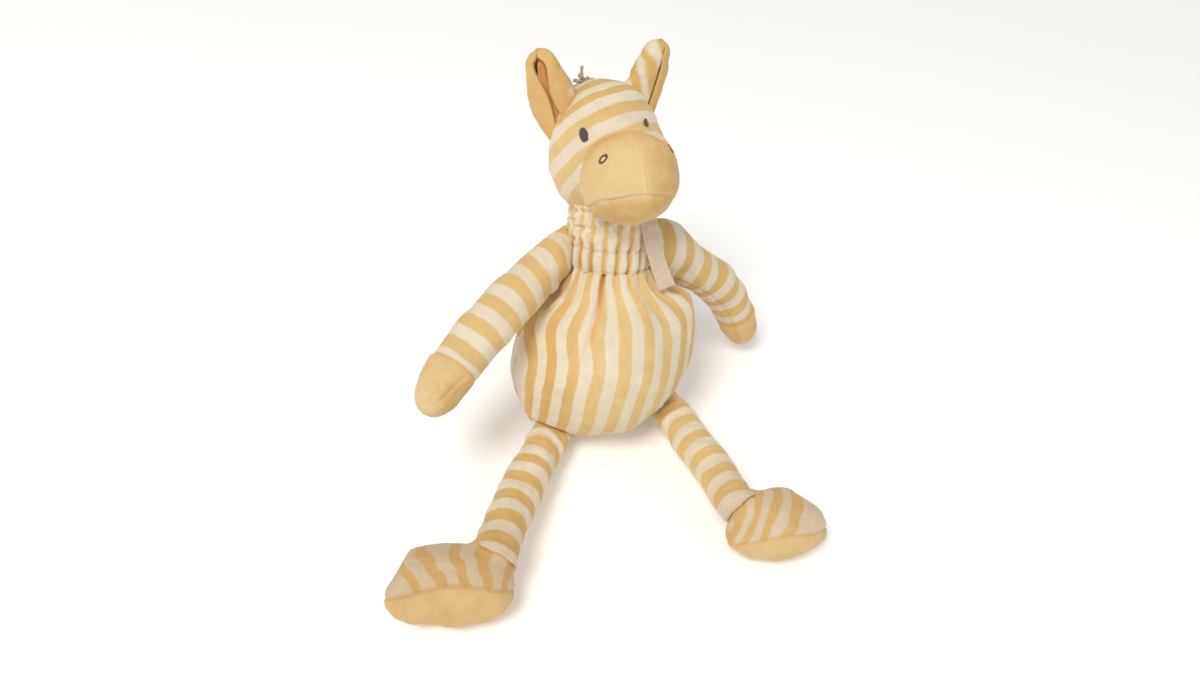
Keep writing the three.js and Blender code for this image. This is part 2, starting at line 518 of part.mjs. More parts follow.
// -------------------------------------------------------- legs and feet
for (const [key, footAt] of [['right', FOOT_RIGHT], ['left', FOOT_LEFT]]) {
  const { curve, r } = limbs[`leg_${key}`];
  const start = curve.getPointAt(0), ankle = curve.getPointAt(1), dir = ankle.clone().sub(start);
  const joint = jointFrame(`leg_${key}_joint`, start, V([0, 0, key === 'right' ? -1 : 1]), torso);
  const opening = ball(start.clone().addScaledVector(curve.getTangentAt(0), -r(0)), 4, 8, 6);
  addPiece(joint, `leg_${key}_sleeve`, limb(curve, r).subtract(limb(curve, r, SKIN, 10, 4, 2)).subtract(opening), STRIPE);
  addPiece(joint, `leg_${key}_stuffing`, limb(curve, r, SKIN + GAP, 10, 4, 2), FILL);

  // Foot frame: X from heel to toe, Z out of the sole.
  const yaw = rad(footAt.yaw), t = rad(footAt.tilt);
  const toe = V([Math.cos(yaw), Math.sin(yaw), 0]);
  const ahead = V([-Math.sin(yaw), Math.cos(yaw), 0]);
  if (ahead.y > 0) ahead.negate();
  const soleOut = ahead.clone().multiplyScalar(Math.sin(t)).add(V([0, 0, -Math.cos(t)]));
  const wide = soleOut.clone().cross(toe);
  const footFrame = new THREE.Matrix4().makeBasis(toe, wide, soleOut).setPosition(...footAt.at);
  const along = curve.getTangentAt(1);
  const foot = jointFrame(`foot_${key}_joint`, ankle, key === 'right' ? along.clone().negate() : along, joint);
  const cut = ball(ankle, ANKLE_R + SOCKET + 0.5, 12, 8).add(
    limb(new THREE.LineCurve3(ankle, ankle.clone().addScaledVector(along, -30)), () => ANKLE_R + SOCKET + 0.5, 0, 12, 1, 2));
  const skin = ellipsoid([0, 0, 0], footAt.half, footFrame, 0, 18, 10)
    .subtract(ellipsoid([0, 0, 0], footAt.half, footFrame, SKIN, 12, 8)).subtract(cut);
  const [sole, upper] = seam(skin, V([0, 0, SOLE_AT]).applyMatrix4(footFrame), soleOut);
  addPiece(foot, `foot_${key}_upper`, upper, STRIPE);
  addPiece(foot, `foot_${key}_sole`, sole, YELLOW);
  addPiece(foot, `foot_${key}_stuffing`, ellipsoid([0, 0, 0], footAt.half, footFrame, SKIN + GAP, 12, 8).subtract(cut), FILL);
}

// ------------------------------------------------------------------ tail
{
  const curve = new THREE.QuadraticBezierCurve3(tailRoot, V(TAIL_PATH[0]), V(TAIL_PATH[1]));
  const tail = jointFrame('tail_joint', tailRoot, V([1, 0, 0]), torso);
  addPiece(tail, 'tail_strip', limb(curve, () => TAIL_R, 0, 8, 5, 2), STRIPE);
  const end = curve.getPointAt(1), t = curve.getTangentAt(1);
  const a = end.clone().addScaledVector(t, TAIL_R + GAP + TUFT_R + 0.2), b = a.clone().addScaledVector(t, 15);
  b.z = Math.max(b.z, 6.2); a.z = Math.max(a.z, 6.2);
  const tuft = new THREE.LineCurve3(a, b);
  addPiece(tail, 'tail_tuft', limb(tuft, (s) => lerp(TUFT_R, TUFT_R * 0.8, s), 0, 10, 2, 3), CORD);
}

export default root;
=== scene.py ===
"""Sitting plush zebra in striped velour. Shapes are worked out in millimetres in the CAD's frame and put down in metres."""
import math

import bmesh
import bpy
import numpy as np
from mathutils import Matrix, Vector
from mathutils.bvhtree import BVHTree


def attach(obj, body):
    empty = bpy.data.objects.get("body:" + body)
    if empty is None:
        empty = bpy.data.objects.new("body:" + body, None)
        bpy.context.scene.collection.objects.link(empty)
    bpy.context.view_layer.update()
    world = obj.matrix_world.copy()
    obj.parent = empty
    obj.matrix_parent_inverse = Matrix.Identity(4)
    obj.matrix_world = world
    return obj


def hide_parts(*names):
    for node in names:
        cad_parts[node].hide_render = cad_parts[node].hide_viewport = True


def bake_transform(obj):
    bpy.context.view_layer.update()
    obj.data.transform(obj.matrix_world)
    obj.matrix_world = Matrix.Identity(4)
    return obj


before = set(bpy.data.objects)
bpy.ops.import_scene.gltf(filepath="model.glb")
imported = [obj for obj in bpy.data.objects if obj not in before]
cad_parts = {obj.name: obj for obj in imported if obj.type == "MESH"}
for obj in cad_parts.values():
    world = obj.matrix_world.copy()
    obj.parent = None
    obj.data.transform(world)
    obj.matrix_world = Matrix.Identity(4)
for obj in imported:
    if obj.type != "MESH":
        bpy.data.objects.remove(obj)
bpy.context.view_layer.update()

MM = 0.001
FINE = 1.0      # share of the full mesh density

# ------------------------------------------------------------------ frames


def unit(v):
    v = np.asarray(v, float)
    return v / np.linalg.norm(v, axis=-1, keepdims=True)


def turn(axis, degrees):
    return np.array(Matrix.Rotation(math.radians(degrees), 3, axis))


_t, _l = math.radians(8), math.radians(18)
UP = np.array([math.sin(_t), math.sin(_l) * math.cos(_t), math.cos(_l) * math.cos(_t)])
SIDE = unit(np.array([1.0, 0, 0]) - UP * UP[0])
BACK = np.cross(UP, SIDE)
BODY_M = np.stack([SIDE, BACK, UP], 1)
BODY_O = np.array([0, 0, 52.5])
HEAD_M = BODY_M @ turn("Y", -10) @ turn("Z", -5)
HEAD_O = BODY_O + BODY_M @ np.array([-5, 2, 141.0])


def from_body(p):
    return np.asarray(p, float) @ BODY_M.T + BODY_O


def in_body(p):
    return (np.asarray(p, float) - BODY_O) @ BODY_M


def from_head(p):
    return np.asarray(p, float) @ HEAD_M.T + HEAD_O


def in_head(p):
    return (np.asarray(p, float) - HEAD_O) @ HEAD_M


# ------------------------------------------------------------------- noise


def waves(p, size, seed, n=9):
    """Smooth bumps about size mm across, with a spread of about one."""
    r = np.random.default_rng(seed)
    k = unit(r.normal(size=(n, 3))) * (2 * math.pi / size) * r.uniform(0.6, 1.5, (n, 1))
    return np.sin(np.asarray(p) @ k.T + r.uniform(0, 2 * math.pi, n)).sum(-1) / math.sqrt(n / 2)


def smooth(lo, hi, x):
    t = np.clip((np.asarray(x, float) - lo) / (hi - lo), 0, 1)
    return t * t * (3 - 2 * t)


def bell(x, width):
    return np.exp(-(np.asarray(x, float) / width) ** 2)


def bands(t):
    """0 in the middle of a yellow band, 1 in the middle of a cream one. Bands are one unit wide."""
    return np.abs(((np.asarray(t, float) + 1) % 2) - 1)


# ------------------------------------------------------------------ meshes


class Shape:
    """Vertices, faces and point attributes of one mesh, in millimetres."""

    def __init__(self):
        self.v, self.f, self.a, self.n = [], [], {}, 0

    def add(self, v, f, **attrs):
        v = np.asarray(v, float).reshape(-1, 3)
        for q in f:
            self.f.append(np.asarray(q) + self.n)
        for k in set(self.a) | set(attrs):
            had = self.a.setdefault(k, [np.zeros(self.n)])
            had.append(np.broadcast_to(np.asarray(attrs.get(k, 0.0), float).ravel(), (len(v),)) if np.size(attrs.get(k, 0.0)) in (1, len(v)) else np.zeros(len(v)))
        self.v.append(v)
        self.n += len(v)
        return self

    def mesh(self, name):
        me = bpy.data.meshes.new(name)
        v = np.concatenate(self.v) * MM
        loops = np.concatenate([q.ravel() for q in self.f])
        sizes = np.concatenate([np.full(len(q), q.shape[1]) for q in self.f])
        starts = np.concatenate([[0], np.cumsum(sizes)[:-1]])
        me.vertices.add(len(v))
        me.vertices.foreach_set("co", v.astype(np.float32).ravel())
        me.loops.add(len(loops))
        me.loops.foreach_set("vertex_index", loops.astype(np.int32))
        me.polygons.add(len(sizes))
        me.polygons.foreach_set("loop_start", starts.astype(np.int32))
        me.update(calc_edges=True)
        me.validate()
        for k, parts in self.a.items():
            at = me.attributes.new(k, "FLOAT", "POINT")
            at.data.foreach_set("value", np.concatenate(parts).astype(np.float32))
        me.polygons.foreach_set("use_smooth", np.ones(len(me.polygons), bool))
        return me


def volume(v, quads):
    a, b, c, d = (v[quads[:, i]] for i in range(4))
    return (np.einsum("ij,ij->i", a, np.cross(b, c)) + np.einsum("ij,ij->i", a, np.cross(c, d))).sum()


def loft(shape, p, start=None, end=None, **attrs):
    """A closed skin over rings of points, p[row, around], ended by a point or by a flat lid."""
    rows, n = p.shape[:2]
    v = p.reshape(-1, 3)
    at = np.arange(rows * n).reshape(rows, n)
    a, b = at[:-1], at[1:]
    quads = np.stack([a, np.roll(a, -1, 1), np.roll(b, -1, 1), b], -1).reshape(-1, 4)
    lids, extra = [], []
    for point, row, flip in ((start, at[0], True), (end, at[-1], False)):
        if point is None:
            lids.append((row[::-1] if flip else row)[None])
        else:
            k = rows * n + len(extra)
            extra.append(point)
            nxt = np.roll(row, -1)
            tri = np.stack([np.full(n, k), nxt, row] if flip else [np.full(n, k), row, nxt], -1)
            lids.append(tri)
    if extra:
        v = np.concatenate([v, np.asarray(extra, float).reshape(-1, 3)])
    full = {}
    for k, x in attrs.items():
        x = np.asarray(x, float)
        x = np.broadcast_to(x, (rows, n)).reshape(-1) if x.ndim else np.full(rows * n, float(x))
        tail = []
        if start is not None:
            tail.append(x[:n].mean())
        if end is not None:
            tail.append(x[-n:].mean())
        full[k] = np.concatenate([x, tail])
    if volume(v - v.mean(0), quads) < 0:
        quads, lids = quads[:, ::-1], [q[:, ::-1] for q in lids]
    return shape.add(v, [quads, *lids], **full)


def frames_along(path):
    """Tangent and two directions across a path, carried along without twist."""
    t = unit(np.gradient(path, axis=0))
    a = np.zeros_like(t)
    ref = np.array([0, 0, 1.0]) if abs(t[0, 2]) < 0.9 else np.array([1.0, 0, 0])
    a[0] = unit(ref - t[0] * (ref @ t[0]))
    for i in range(1, len(t)):
        w = a[i - 1] - t[i] * (a[i - 1] @ t[i])
        a[i] = unit(w)
    return t, a, np.cross(t, a)


def tube(shape, path, radius, sides=7, **attrs):
    """A round thread or yarn along a path, with blunt ends."""
    path = np.asarray(path, float)
    t, a, b = frames_along(path)
    r = np.broadcast_to(np.asarray(radius, float), (len(path),))
    th = np.linspace(0, 2 * math.pi, sides, endpoint=False)
    ring = lambda i, k, off: path[i] + t[i] * off + (a[i] * np.cos(th)[:, None] + b[i] * np.sin(th)[:, None]) * k
    rows = [ring(0, r[0] * 0.7, -r[0] * 0.6)] + [ring(i, r[i], 0) for i in range(len(path))] + [ring(-1, r[-1] * 0.7, r[-1] * 0.6)]
    return loft(shape, np.array(rows), path[0] - t[0] * r[0] * 0.9, path[-1] + t[-1] * r[-1] * 0.9, **attrs)


def put(name, me, material, body=None, nodes=(), blend=None):
    obj = bpy.data.objects.new(name, me)
    bpy.context.scene.collection.objects.link(obj)
    me.materials.append(material)
    if blend:
        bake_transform(obj)
    else:
        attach(obj, body)
    if nodes:
        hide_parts(*nodes)
    return obj


def cut(me, name, planes):
    """The part of a closed mesh ahead of each plane, closed again by a flat lid at every cut."""
    bm = bmesh.new()
    bm.from_mesh(me)
    for point, normal in planes:
        out = bmesh.ops.bisect_plane(
            bm, geom=bm.verts[:] + bm.edges[:] + bm.faces[:], plane_co=Vector(np.asarray(point) * MM),
            plane_no=Vector(normal), clear_inner=True, dist=1e-7)
        edges = [e for e in out["geom_cut"] if isinstance(e, bmesh.types.BMEdge) and e.is_valid and e.is_boundary]
        for e in edges:
            e.smooth = False
        lids = bmesh.ops.edgeloop_fill(bm, edges=edges)["faces"]
        for f in lids:
            f.smooth = False
            f.normal_update()
            if f.normal.dot(Vector(normal)) > 0:
                f.normal_flip()
    made = bpy.data.meshes.new(name)
    bm.to_mesh(made)
    bm.free()
    return made


class Solid:
    """Signed distance to closed meshes, in mm, positive outside."""

    def __init__(self, *meshes):
        self.trees = []
        for me in meshes:
            v = [tuple(q.co / MM) for q in me.vertices]
            self.trees.append(BVHTree.FromPolygons(v, [tuple(f.vertices) for f in me.polygons]))

    def gap(self, p):
        q, best = Vector(p), 1e9
        for tree in self.trees:
            at, normal, _, far = tree.find_nearest(q)
            best = min(best, far if (q - at).dot(normal) > 0 else -far)
        return best


def meet(point, solid, outside, inside, want, steps=28):
    """Where a line of points, point(s) from outside to inside, first comes as near as want mm."""
    last = None
    for s in np.linspace(outside, inside, steps):
        g = solid.gap(point(s)) - want
        if g < 0:
            return s if last is None else last[0] + (s - last[0]) * last[1] / (last[1] - g)
        last = (s, g)
    return inside


# --------------------------------------------------------------- materials

YELLOW = (0.715, 0.508, 0.236)
CREAM = (0.750, 0.652, 0.500)
PAINTED_SHADE_YELLOW = (0.640, 0.403, 0.145)      # painted shade: the darker, warmer yellow of shaded sides and parts


def material(name):
    m = bpy.data.materials.new(name)
    m.use_nodes = True
    m.node_tree.nodes.clear()
    return m


class Nodes:
    def __init__(self, m):
        self.t = m.node_tree

    def add(self, kind, inputs=None, **props):
        n = self.t.nodes.new("ShaderNode" + kind)
        for k, x in props.items():
            setattr(n, k, x)
        for k, x in (inputs or {}).items():
            if isinstance(x, bpy.types.NodeSocket):
                self.t.links.new(x, n.inputs[k])
            else:
                n.inputs[k].default_value = x
        return n

    def math(self, op, a, b=0.0, c=0.0):
        return self.add("Math", {0: a, 1: b, 2: c}, operation=op).outputs[0]

    def noise(self, scale, detail=2.0, rough=0.5, vector=None, distortion=0.0):
        v = vector or self.coords()
        return self.add("TexNoise", {"Vector": v, "Scale": scale, "Detail": detail, "Roughness": rough, "Distortion": distortion}).outputs["Fac"]

    def coords(self):
        if not hasattr(self, "_c"):
            self._c = self.add("TexCoord").outputs["Object"]
        return self._c

    def spread(self, x, a, b, lo, hi, smoothly=False):
        n = self.add("MapRange", {"Value": x, "From Min": a, "From Max": b, "To Min": lo, "To Max": hi})
        if smoothly:
            n.interpolation_type = "SMOOTHSTEP"
        return n.outputs["Result"]

    def mix(self, fac, a, b, mode="MIX"):
        n = self.t.nodes.new("ShaderNodeMix")
        n.data_type, n.blend_type = "RGBA", mode
        for i, x in ((0, fac), (6, a), (7, b)):
            if isinstance(x, bpy.types.NodeSocket):
                self.t.links.new(x, n.inputs[i])
            else:
                n.inputs[i].default_value = x if i == 0 else (*x[:3], 1.0)
        return n.outputs[2]

    def attr(self, name):
        return self.add("Attribute", attribute_name=name).outputs["Fac"]


def velour(name, striped=True):
    m = material(name)
    n = Nodes(m)
    fibre = n.noise(2600, 2, 0.6)
    tufts = n.noise(900, 3, 0.65)
    nap = n.noise(70, 3, 0.6, distortion=0.4)
    broad = n.noise(22, 2, 0.5)
    # Painted shade: the yellow deepens towards a darker, warmer yellow on shaded sides and parts.
    yellow = n.mix(n.attr("tone"), YELLOW, PAINTED_SHADE_YELLOW)
    if striped:
        edge = n.math("MULTIPLY_ADD", n.math("SUBTRACT", n.noise(420, 2, 0.6), 0.5), 0.13, n.attr("stripe"))
        drift = n.math("MULTIPLY_ADD", n.math("SUBTRACT", n.noise(45, 1, 0.5), 0.5), 0.10, edge)
        colour = n.mix(n.spread(drift, 0.43, 0.57, 0, 1, True), yellow, CREAM)
    else:
        colour = n.mix(n.spread(nap, 0.3, 0.7, 0, 0.16), yellow, CREAM)
    # The pile lies one way here and another there, so its tone drifts a little.
    tone = n.math("ADD", n.spread(nap, 0.25, 0.75, -0.055, 0.055), n.spread(broad, 0.3, 0.7, -0.035, 0.035))
    tone = n.math("ADD", tone, n.spread(tufts, 0.3, 0.7, -0.045, 0.045))
    tone = n.math("ADD", tone, n.spread(fibre, 0.3, 0.7, -0.04, 0.04))
    colour = n.mix(1.0, colour, n.add("CombineColor", {0: n.math("ADD", tone, 1.0), 1: n.math("MULTIPLY_ADD", tone, 1.15, 0.995), 2: n.math("MULTIPLY_ADD", tone, 1.5, 0.98)}).outputs[0], "MULTIPLY")
    # Painted shade: creases, seams and the joins between parts darken towards a warm orange.
    fold = n.math("MULTIPLY", n.attr("fold"), 0.85)
    colour = n.mix(fold, colour, n.mix(1.0, colour, (0.96, 0.65, 0.39), "MULTIPLY"))
    # Paler patches: random wear, and painted highlight along the raised seams of the muzzle.
    worn = n.math("MULTIPLY", n.attr("worn"), 0.35)
    colour = n.mix(worn, colour, (0.86, 0.74, 0.52))
    colour = n.mix(n.attr("shade"), colour, n.mix(1.0, colour, (0.80, 0.70, 0.60), "MULTIPLY"))
    pile = n.math("MULTIPLY_ADD", tufts, 0.55, n.math("MULTIPLY", fibre, 0.45))
    bump = n.add("Bump", {"Height": pile, "Strength": 0.42, "Distance": 0.0007}).outputs[0]
    bump = n.add("Bump", {"Height": nap, "Strength": 0.30, "Distance": 0.0012, "Normal": bump}).outputs[0]
    rough = n.spread(tufts, 0.3, 0.7, 0.86, 1.0)
    s = n.add("BsdfPrincipled", {
        "Base Color": colour, "Roughness": rough, "Normal": bump,
        "Specular IOR Level": 0.16, "Sheen Weight": 0.32, "Sheen Roughness": 0.42, "Sheen Tint": (1.0, 0.93, 0.80, 1.0)})
    out = n.add("OutputMaterial")
    m.node_tree.links.new(s.outputs[0], out.inputs[0])
    return m


def thread(name, colour, light=1.25, sheen=0.25, scale=1500):
    m = material(name)
    n = Nodes(m)
    ply = n.noise(scale, 3, 0.6, distortion=0.8)
    worn = n.noise(130, 2, 0.5)
    c = n.mix(n.spread(ply, 0.3, 0.7, 0, 1), [x * 0.72 for x in colour], [min(1.0, x * light) for x in colour])
    c = n.mix(n.spread(worn, 0.35, 0.7, 0, 0.35), c, [min(1.0, x * 1.15 + 0.02) for x in colour])
    bump = n.add("Bump", {"Height": ply, "Strength": 0.55, "Distance": 0.0003}).outputs[0]
    s = n.add("BsdfPrincipled", {
        "Base Color": c, "Roughness": n.spread(ply, 0.3, 0.7, 0.55, 0.8), "Normal": bump,
        "Specular IOR Level": 0.3, "Sheen Weight": sheen, "Sheen Roughness": 0.4})
    out = n.add("OutputMaterial")
    m.node_tree.links.new(s.outputs[0], out.inputs[0])
    return m


def tape(name):
    """Woven cotton tape: across-running ribs, a denser edge on each side."""
    m = material(name)
    n = Nodes(m)
    along = n.math("MULTIPLY", n.attr("along"), 2 * math.pi / 0.55)
    over = n.math("MULTIPLY", n.attr("across"), 2 * math.pi / 0.42)
    ribs = n.math("MULTIPLY", n.math("SINE", along), n.math("SINE", n.math("ADD", over, n.math("MULTIPLY", along, 0.5))))
    slub = n.noise(500, 3, 0.6)
    c = n.mix(n.spread(slub, 0.3, 0.7, 0, 1), (0.60, 0.475, 0.345), (0.73, 0.60, 0.455))
    c = n.mix(n.spread(ribs, -1, 1, 0, 0.22), c, (0.84, 0.74, 0.60))
    c = n.mix(n.math("MULTIPLY", n.attr("selvedge"), 0.45), c, (0.82, 0.72, 0.56))
    h = n.math("MULTIPLY_ADD", slub, 0.4, ribs)
    bump = n.add("Bump", {"Height": h, "Strength": 0.5, "Distance": 0.00012}).outputs[0]
    s = n.add("BsdfPrincipled", {
        "Base Color": c, "Roughness": n.spread(slub, 0.3, 0.7, 0.7, 0.9), "Normal": bump,
        "Specular IOR Level": 0.25, "Sheen Weight": 0.1, "Sheen Roughness": 0.5})
    out = n.add("OutputMaterial")
    m.node_tree.links.new(s.outputs[0], out.inputs[0])
    return m


STRIPED = velour("striped_velour")
PLAIN = velour("plain_velour", striped=False)
EYE_THREAD = thread("eye_thread", (0.098, 0.070, 0.066))
NOSTRIL_THREAD = thread("nostril_thread", (0.135, 0.082, 0.040))
CREAM_THREAD = thread("sewing_thread", (0.80, 0.68, 0.47), sheen=0.1)
YARN = thread("mane_yarn", (0.42, 0.36, 0.25), scale=1100)
TAPE = tape("label_tape_weave")

# ------------------------------------------------------------------ limbs


def bezier(a, b, lift, n):
    a, b = np.asarray(a, float), np.asarray(b, float)
    m = (a + b) / 2 + np.asarray(lift, float)
    s = np.linspace(0, 1, n)[:, None]
    p = (1 - s) ** 2 * a + 2 * s * (1 - s) * m + s * s * b
    d = np.concatenate([[0], np.cumsum(np.linalg.norm(np.diff(p, axis=0), axis=1))])
    want = np.linspace(0, d[-1], n)
    return np.stack([np.interp(want, d, p[:, k]) for k in range(3)], 1), d[-1]


LIMBS = {
    "arm_right": bezier(from_body([-40.5, 3, 60]), [-121, -35.8, 86], [-3, 2, 12], 200),
    "arm_left": bezier(from_body([40.5, 3, 60]), [124.4, 21.7, 22.4], [11, 1, 32], 200),
    "leg_right": bezier([-40.5, -24.2, 14.5], [-109.7, -117, 30], [-5, 2.5, 2.5], 200),
    "leg_left": bezier([39, -21.7, 15.2], [38.2, -130.5, 32.5], [1, 0, 1], 200),
}


def even(values):
    """Smooth a closed row of numbers."""
    for _ in range(3):
        values = (np.roll(values, 1) + 2 * values + np.roll(values, -1)) / 4
    return values


def limb_skin(key, radius, n, root, far=None, ahead=0.0, tip=9.0, step=0.9, reach_in=26, keep=45):
    """Rings of a stuffed limb, cut to lie on the solid it is sewn to at its root and, if given, at its far end.
    radius(s, angle) is in mm, s in mm along the limb. A free tip is rounded over tip mm."""
    path, length = LIMBS[key]
    d = np.linspace(0, length, len(path))
    t0, t1 = unit(path[1] - path[0]), unit(path[-1] - path[-2])

    def centre(x):
        x = np.asarray(x, float)
        c = np.stack([np.interp(x, d, path[:, k]) for k in range(3)], -1)
        return c + np.minimum(x, 0)[..., None] * t0 + np.maximum(x - length, 0)[..., None] * t1

    def place(S, TH, share=1.0):
        c, e = centre(S), 0.05
        t = unit(centre(S + e) - centre(S - e))
        side = unit(np.cross(t, np.array([0, 0, 1.0])))
        across = np.cross(side, t) * np.cos(TH)[..., None] + side * np.sin(TH)[..., None]
        r = radius(S, TH)
        if far is None:
            r = r * np.sqrt(np.clip(1 - np.clip((S - (length + ahead - tip)) / tip, 0, 1) ** 2, 0.0015, 1)) ** 0.92
        return c + across * (r * share)[..., None], across

    th = np.linspace(0, 2 * math.pi, n, endpoint=False)
    coarse = np.linspace(0, 2 * math.pi, 32, endpoint=False)

    def ends(share, solid, outside, inside):
        want = 0.25 if solid is root else 0.15
        found = [meet(lambda x: place(np.array([x]), np.array([a]), share)[0][0], solid, outside, inside, want) for a in coarse]
        return np.interp(th, np.append(coarse, 2 * math.pi), np.append(even(np.array(found)), even(np.array(found))[0]))

    lo = ends(1.0, root, 30, -reach_in)
    hi = ends(1.0, far, length - 14, length + 10) if far else np.full(n, length + ahead)
    count = int((length + ahead) / step * (0.6 if FINE < 1 else 1))
    s = np.linspace(0, length + ahead, count)
    S = s[:, None] + np.clip(1 - s / keep, 0, 1)[:, None] * lo[None]
    if far:
        S = S + np.clip(1 - (length + ahead - s) / 24, 0, 1)[:, None] * (hi - length - ahead)[None]
    S = np.maximum.accumulate(S, 0)
    TH = np.broadcast_to(th, S.shape)
    p, across = place(S, TH)
    # The cloth turns in at each sewn edge.
    p -= across * (0.5 * bell(S - lo[None], 1.2))[..., None]
    if far:
        p -= across * (0.12 * bell(S - hi[None], 1.0))[..., None]
    lids = []
    for solid, at, outside, inside in ((root, 0, 30, -reach_in),) + (((far, -1, length - 14, length + 10),) if far else ()):
        rows = [place(ends(f, solid, outside, inside), th, f)[0] for f in (0.85, 0.6, 0.3)]
        lids.append(np.array(rows[::-1] if at == 0 else rows))
    for at, extra in enumerate(lids):
        p = np.concatenate([extra, p] if at == 0 else [p, extra])
        fill = np.broadcast_to(S[0] if at == 0 else S[-1], (len(extra), n))
        S = np.concatenate([fill, S] if at == 0 else [S, fill])
    TH = np.broadcast_to(th, S.shape)
    start = p[0].mean(0)
    end = p[-1].mean(0) if far else centre(length + ahead) + t1 * 0.35
    return S, TH, p, start, end, (t0, t1)


# -------------------------------------------------------------------- body


PLEATS = 20


def band_no(phi):
    """The number of the band at an angle about the body: even ones are yellow, and they fold inwards."""
    return np.asarray(phi) / (2 * math.pi) * 2 * PLEATS + 1.08


VALLEYS = (2 * np.arange(PLEATS) - 1.08) / (2 * PLEATS) * 2 * math.pi - math.pi
LOW_X = np.array([-61, -58.5, -54.9, -51.3, -46.8, -41.2, -34.9, -28.0, -20.5, -12.7, -4.6, 3.5, 11.5, 19.0, 26.4, 34.2, 41.2, 46.6, 50.9, 55.2, 58.6, 61])
LOW_T = np.array([-8.92, -8.5, -7.5, -6.5, -5.5, -4.5, -3.5, -2.5, -1.5, -0.5, 0.5, 1.5, 2.5, 3.5, 4.5, 5.5, 6.5, 7.5, 8.5, 9.5, 10.5, 11.08])


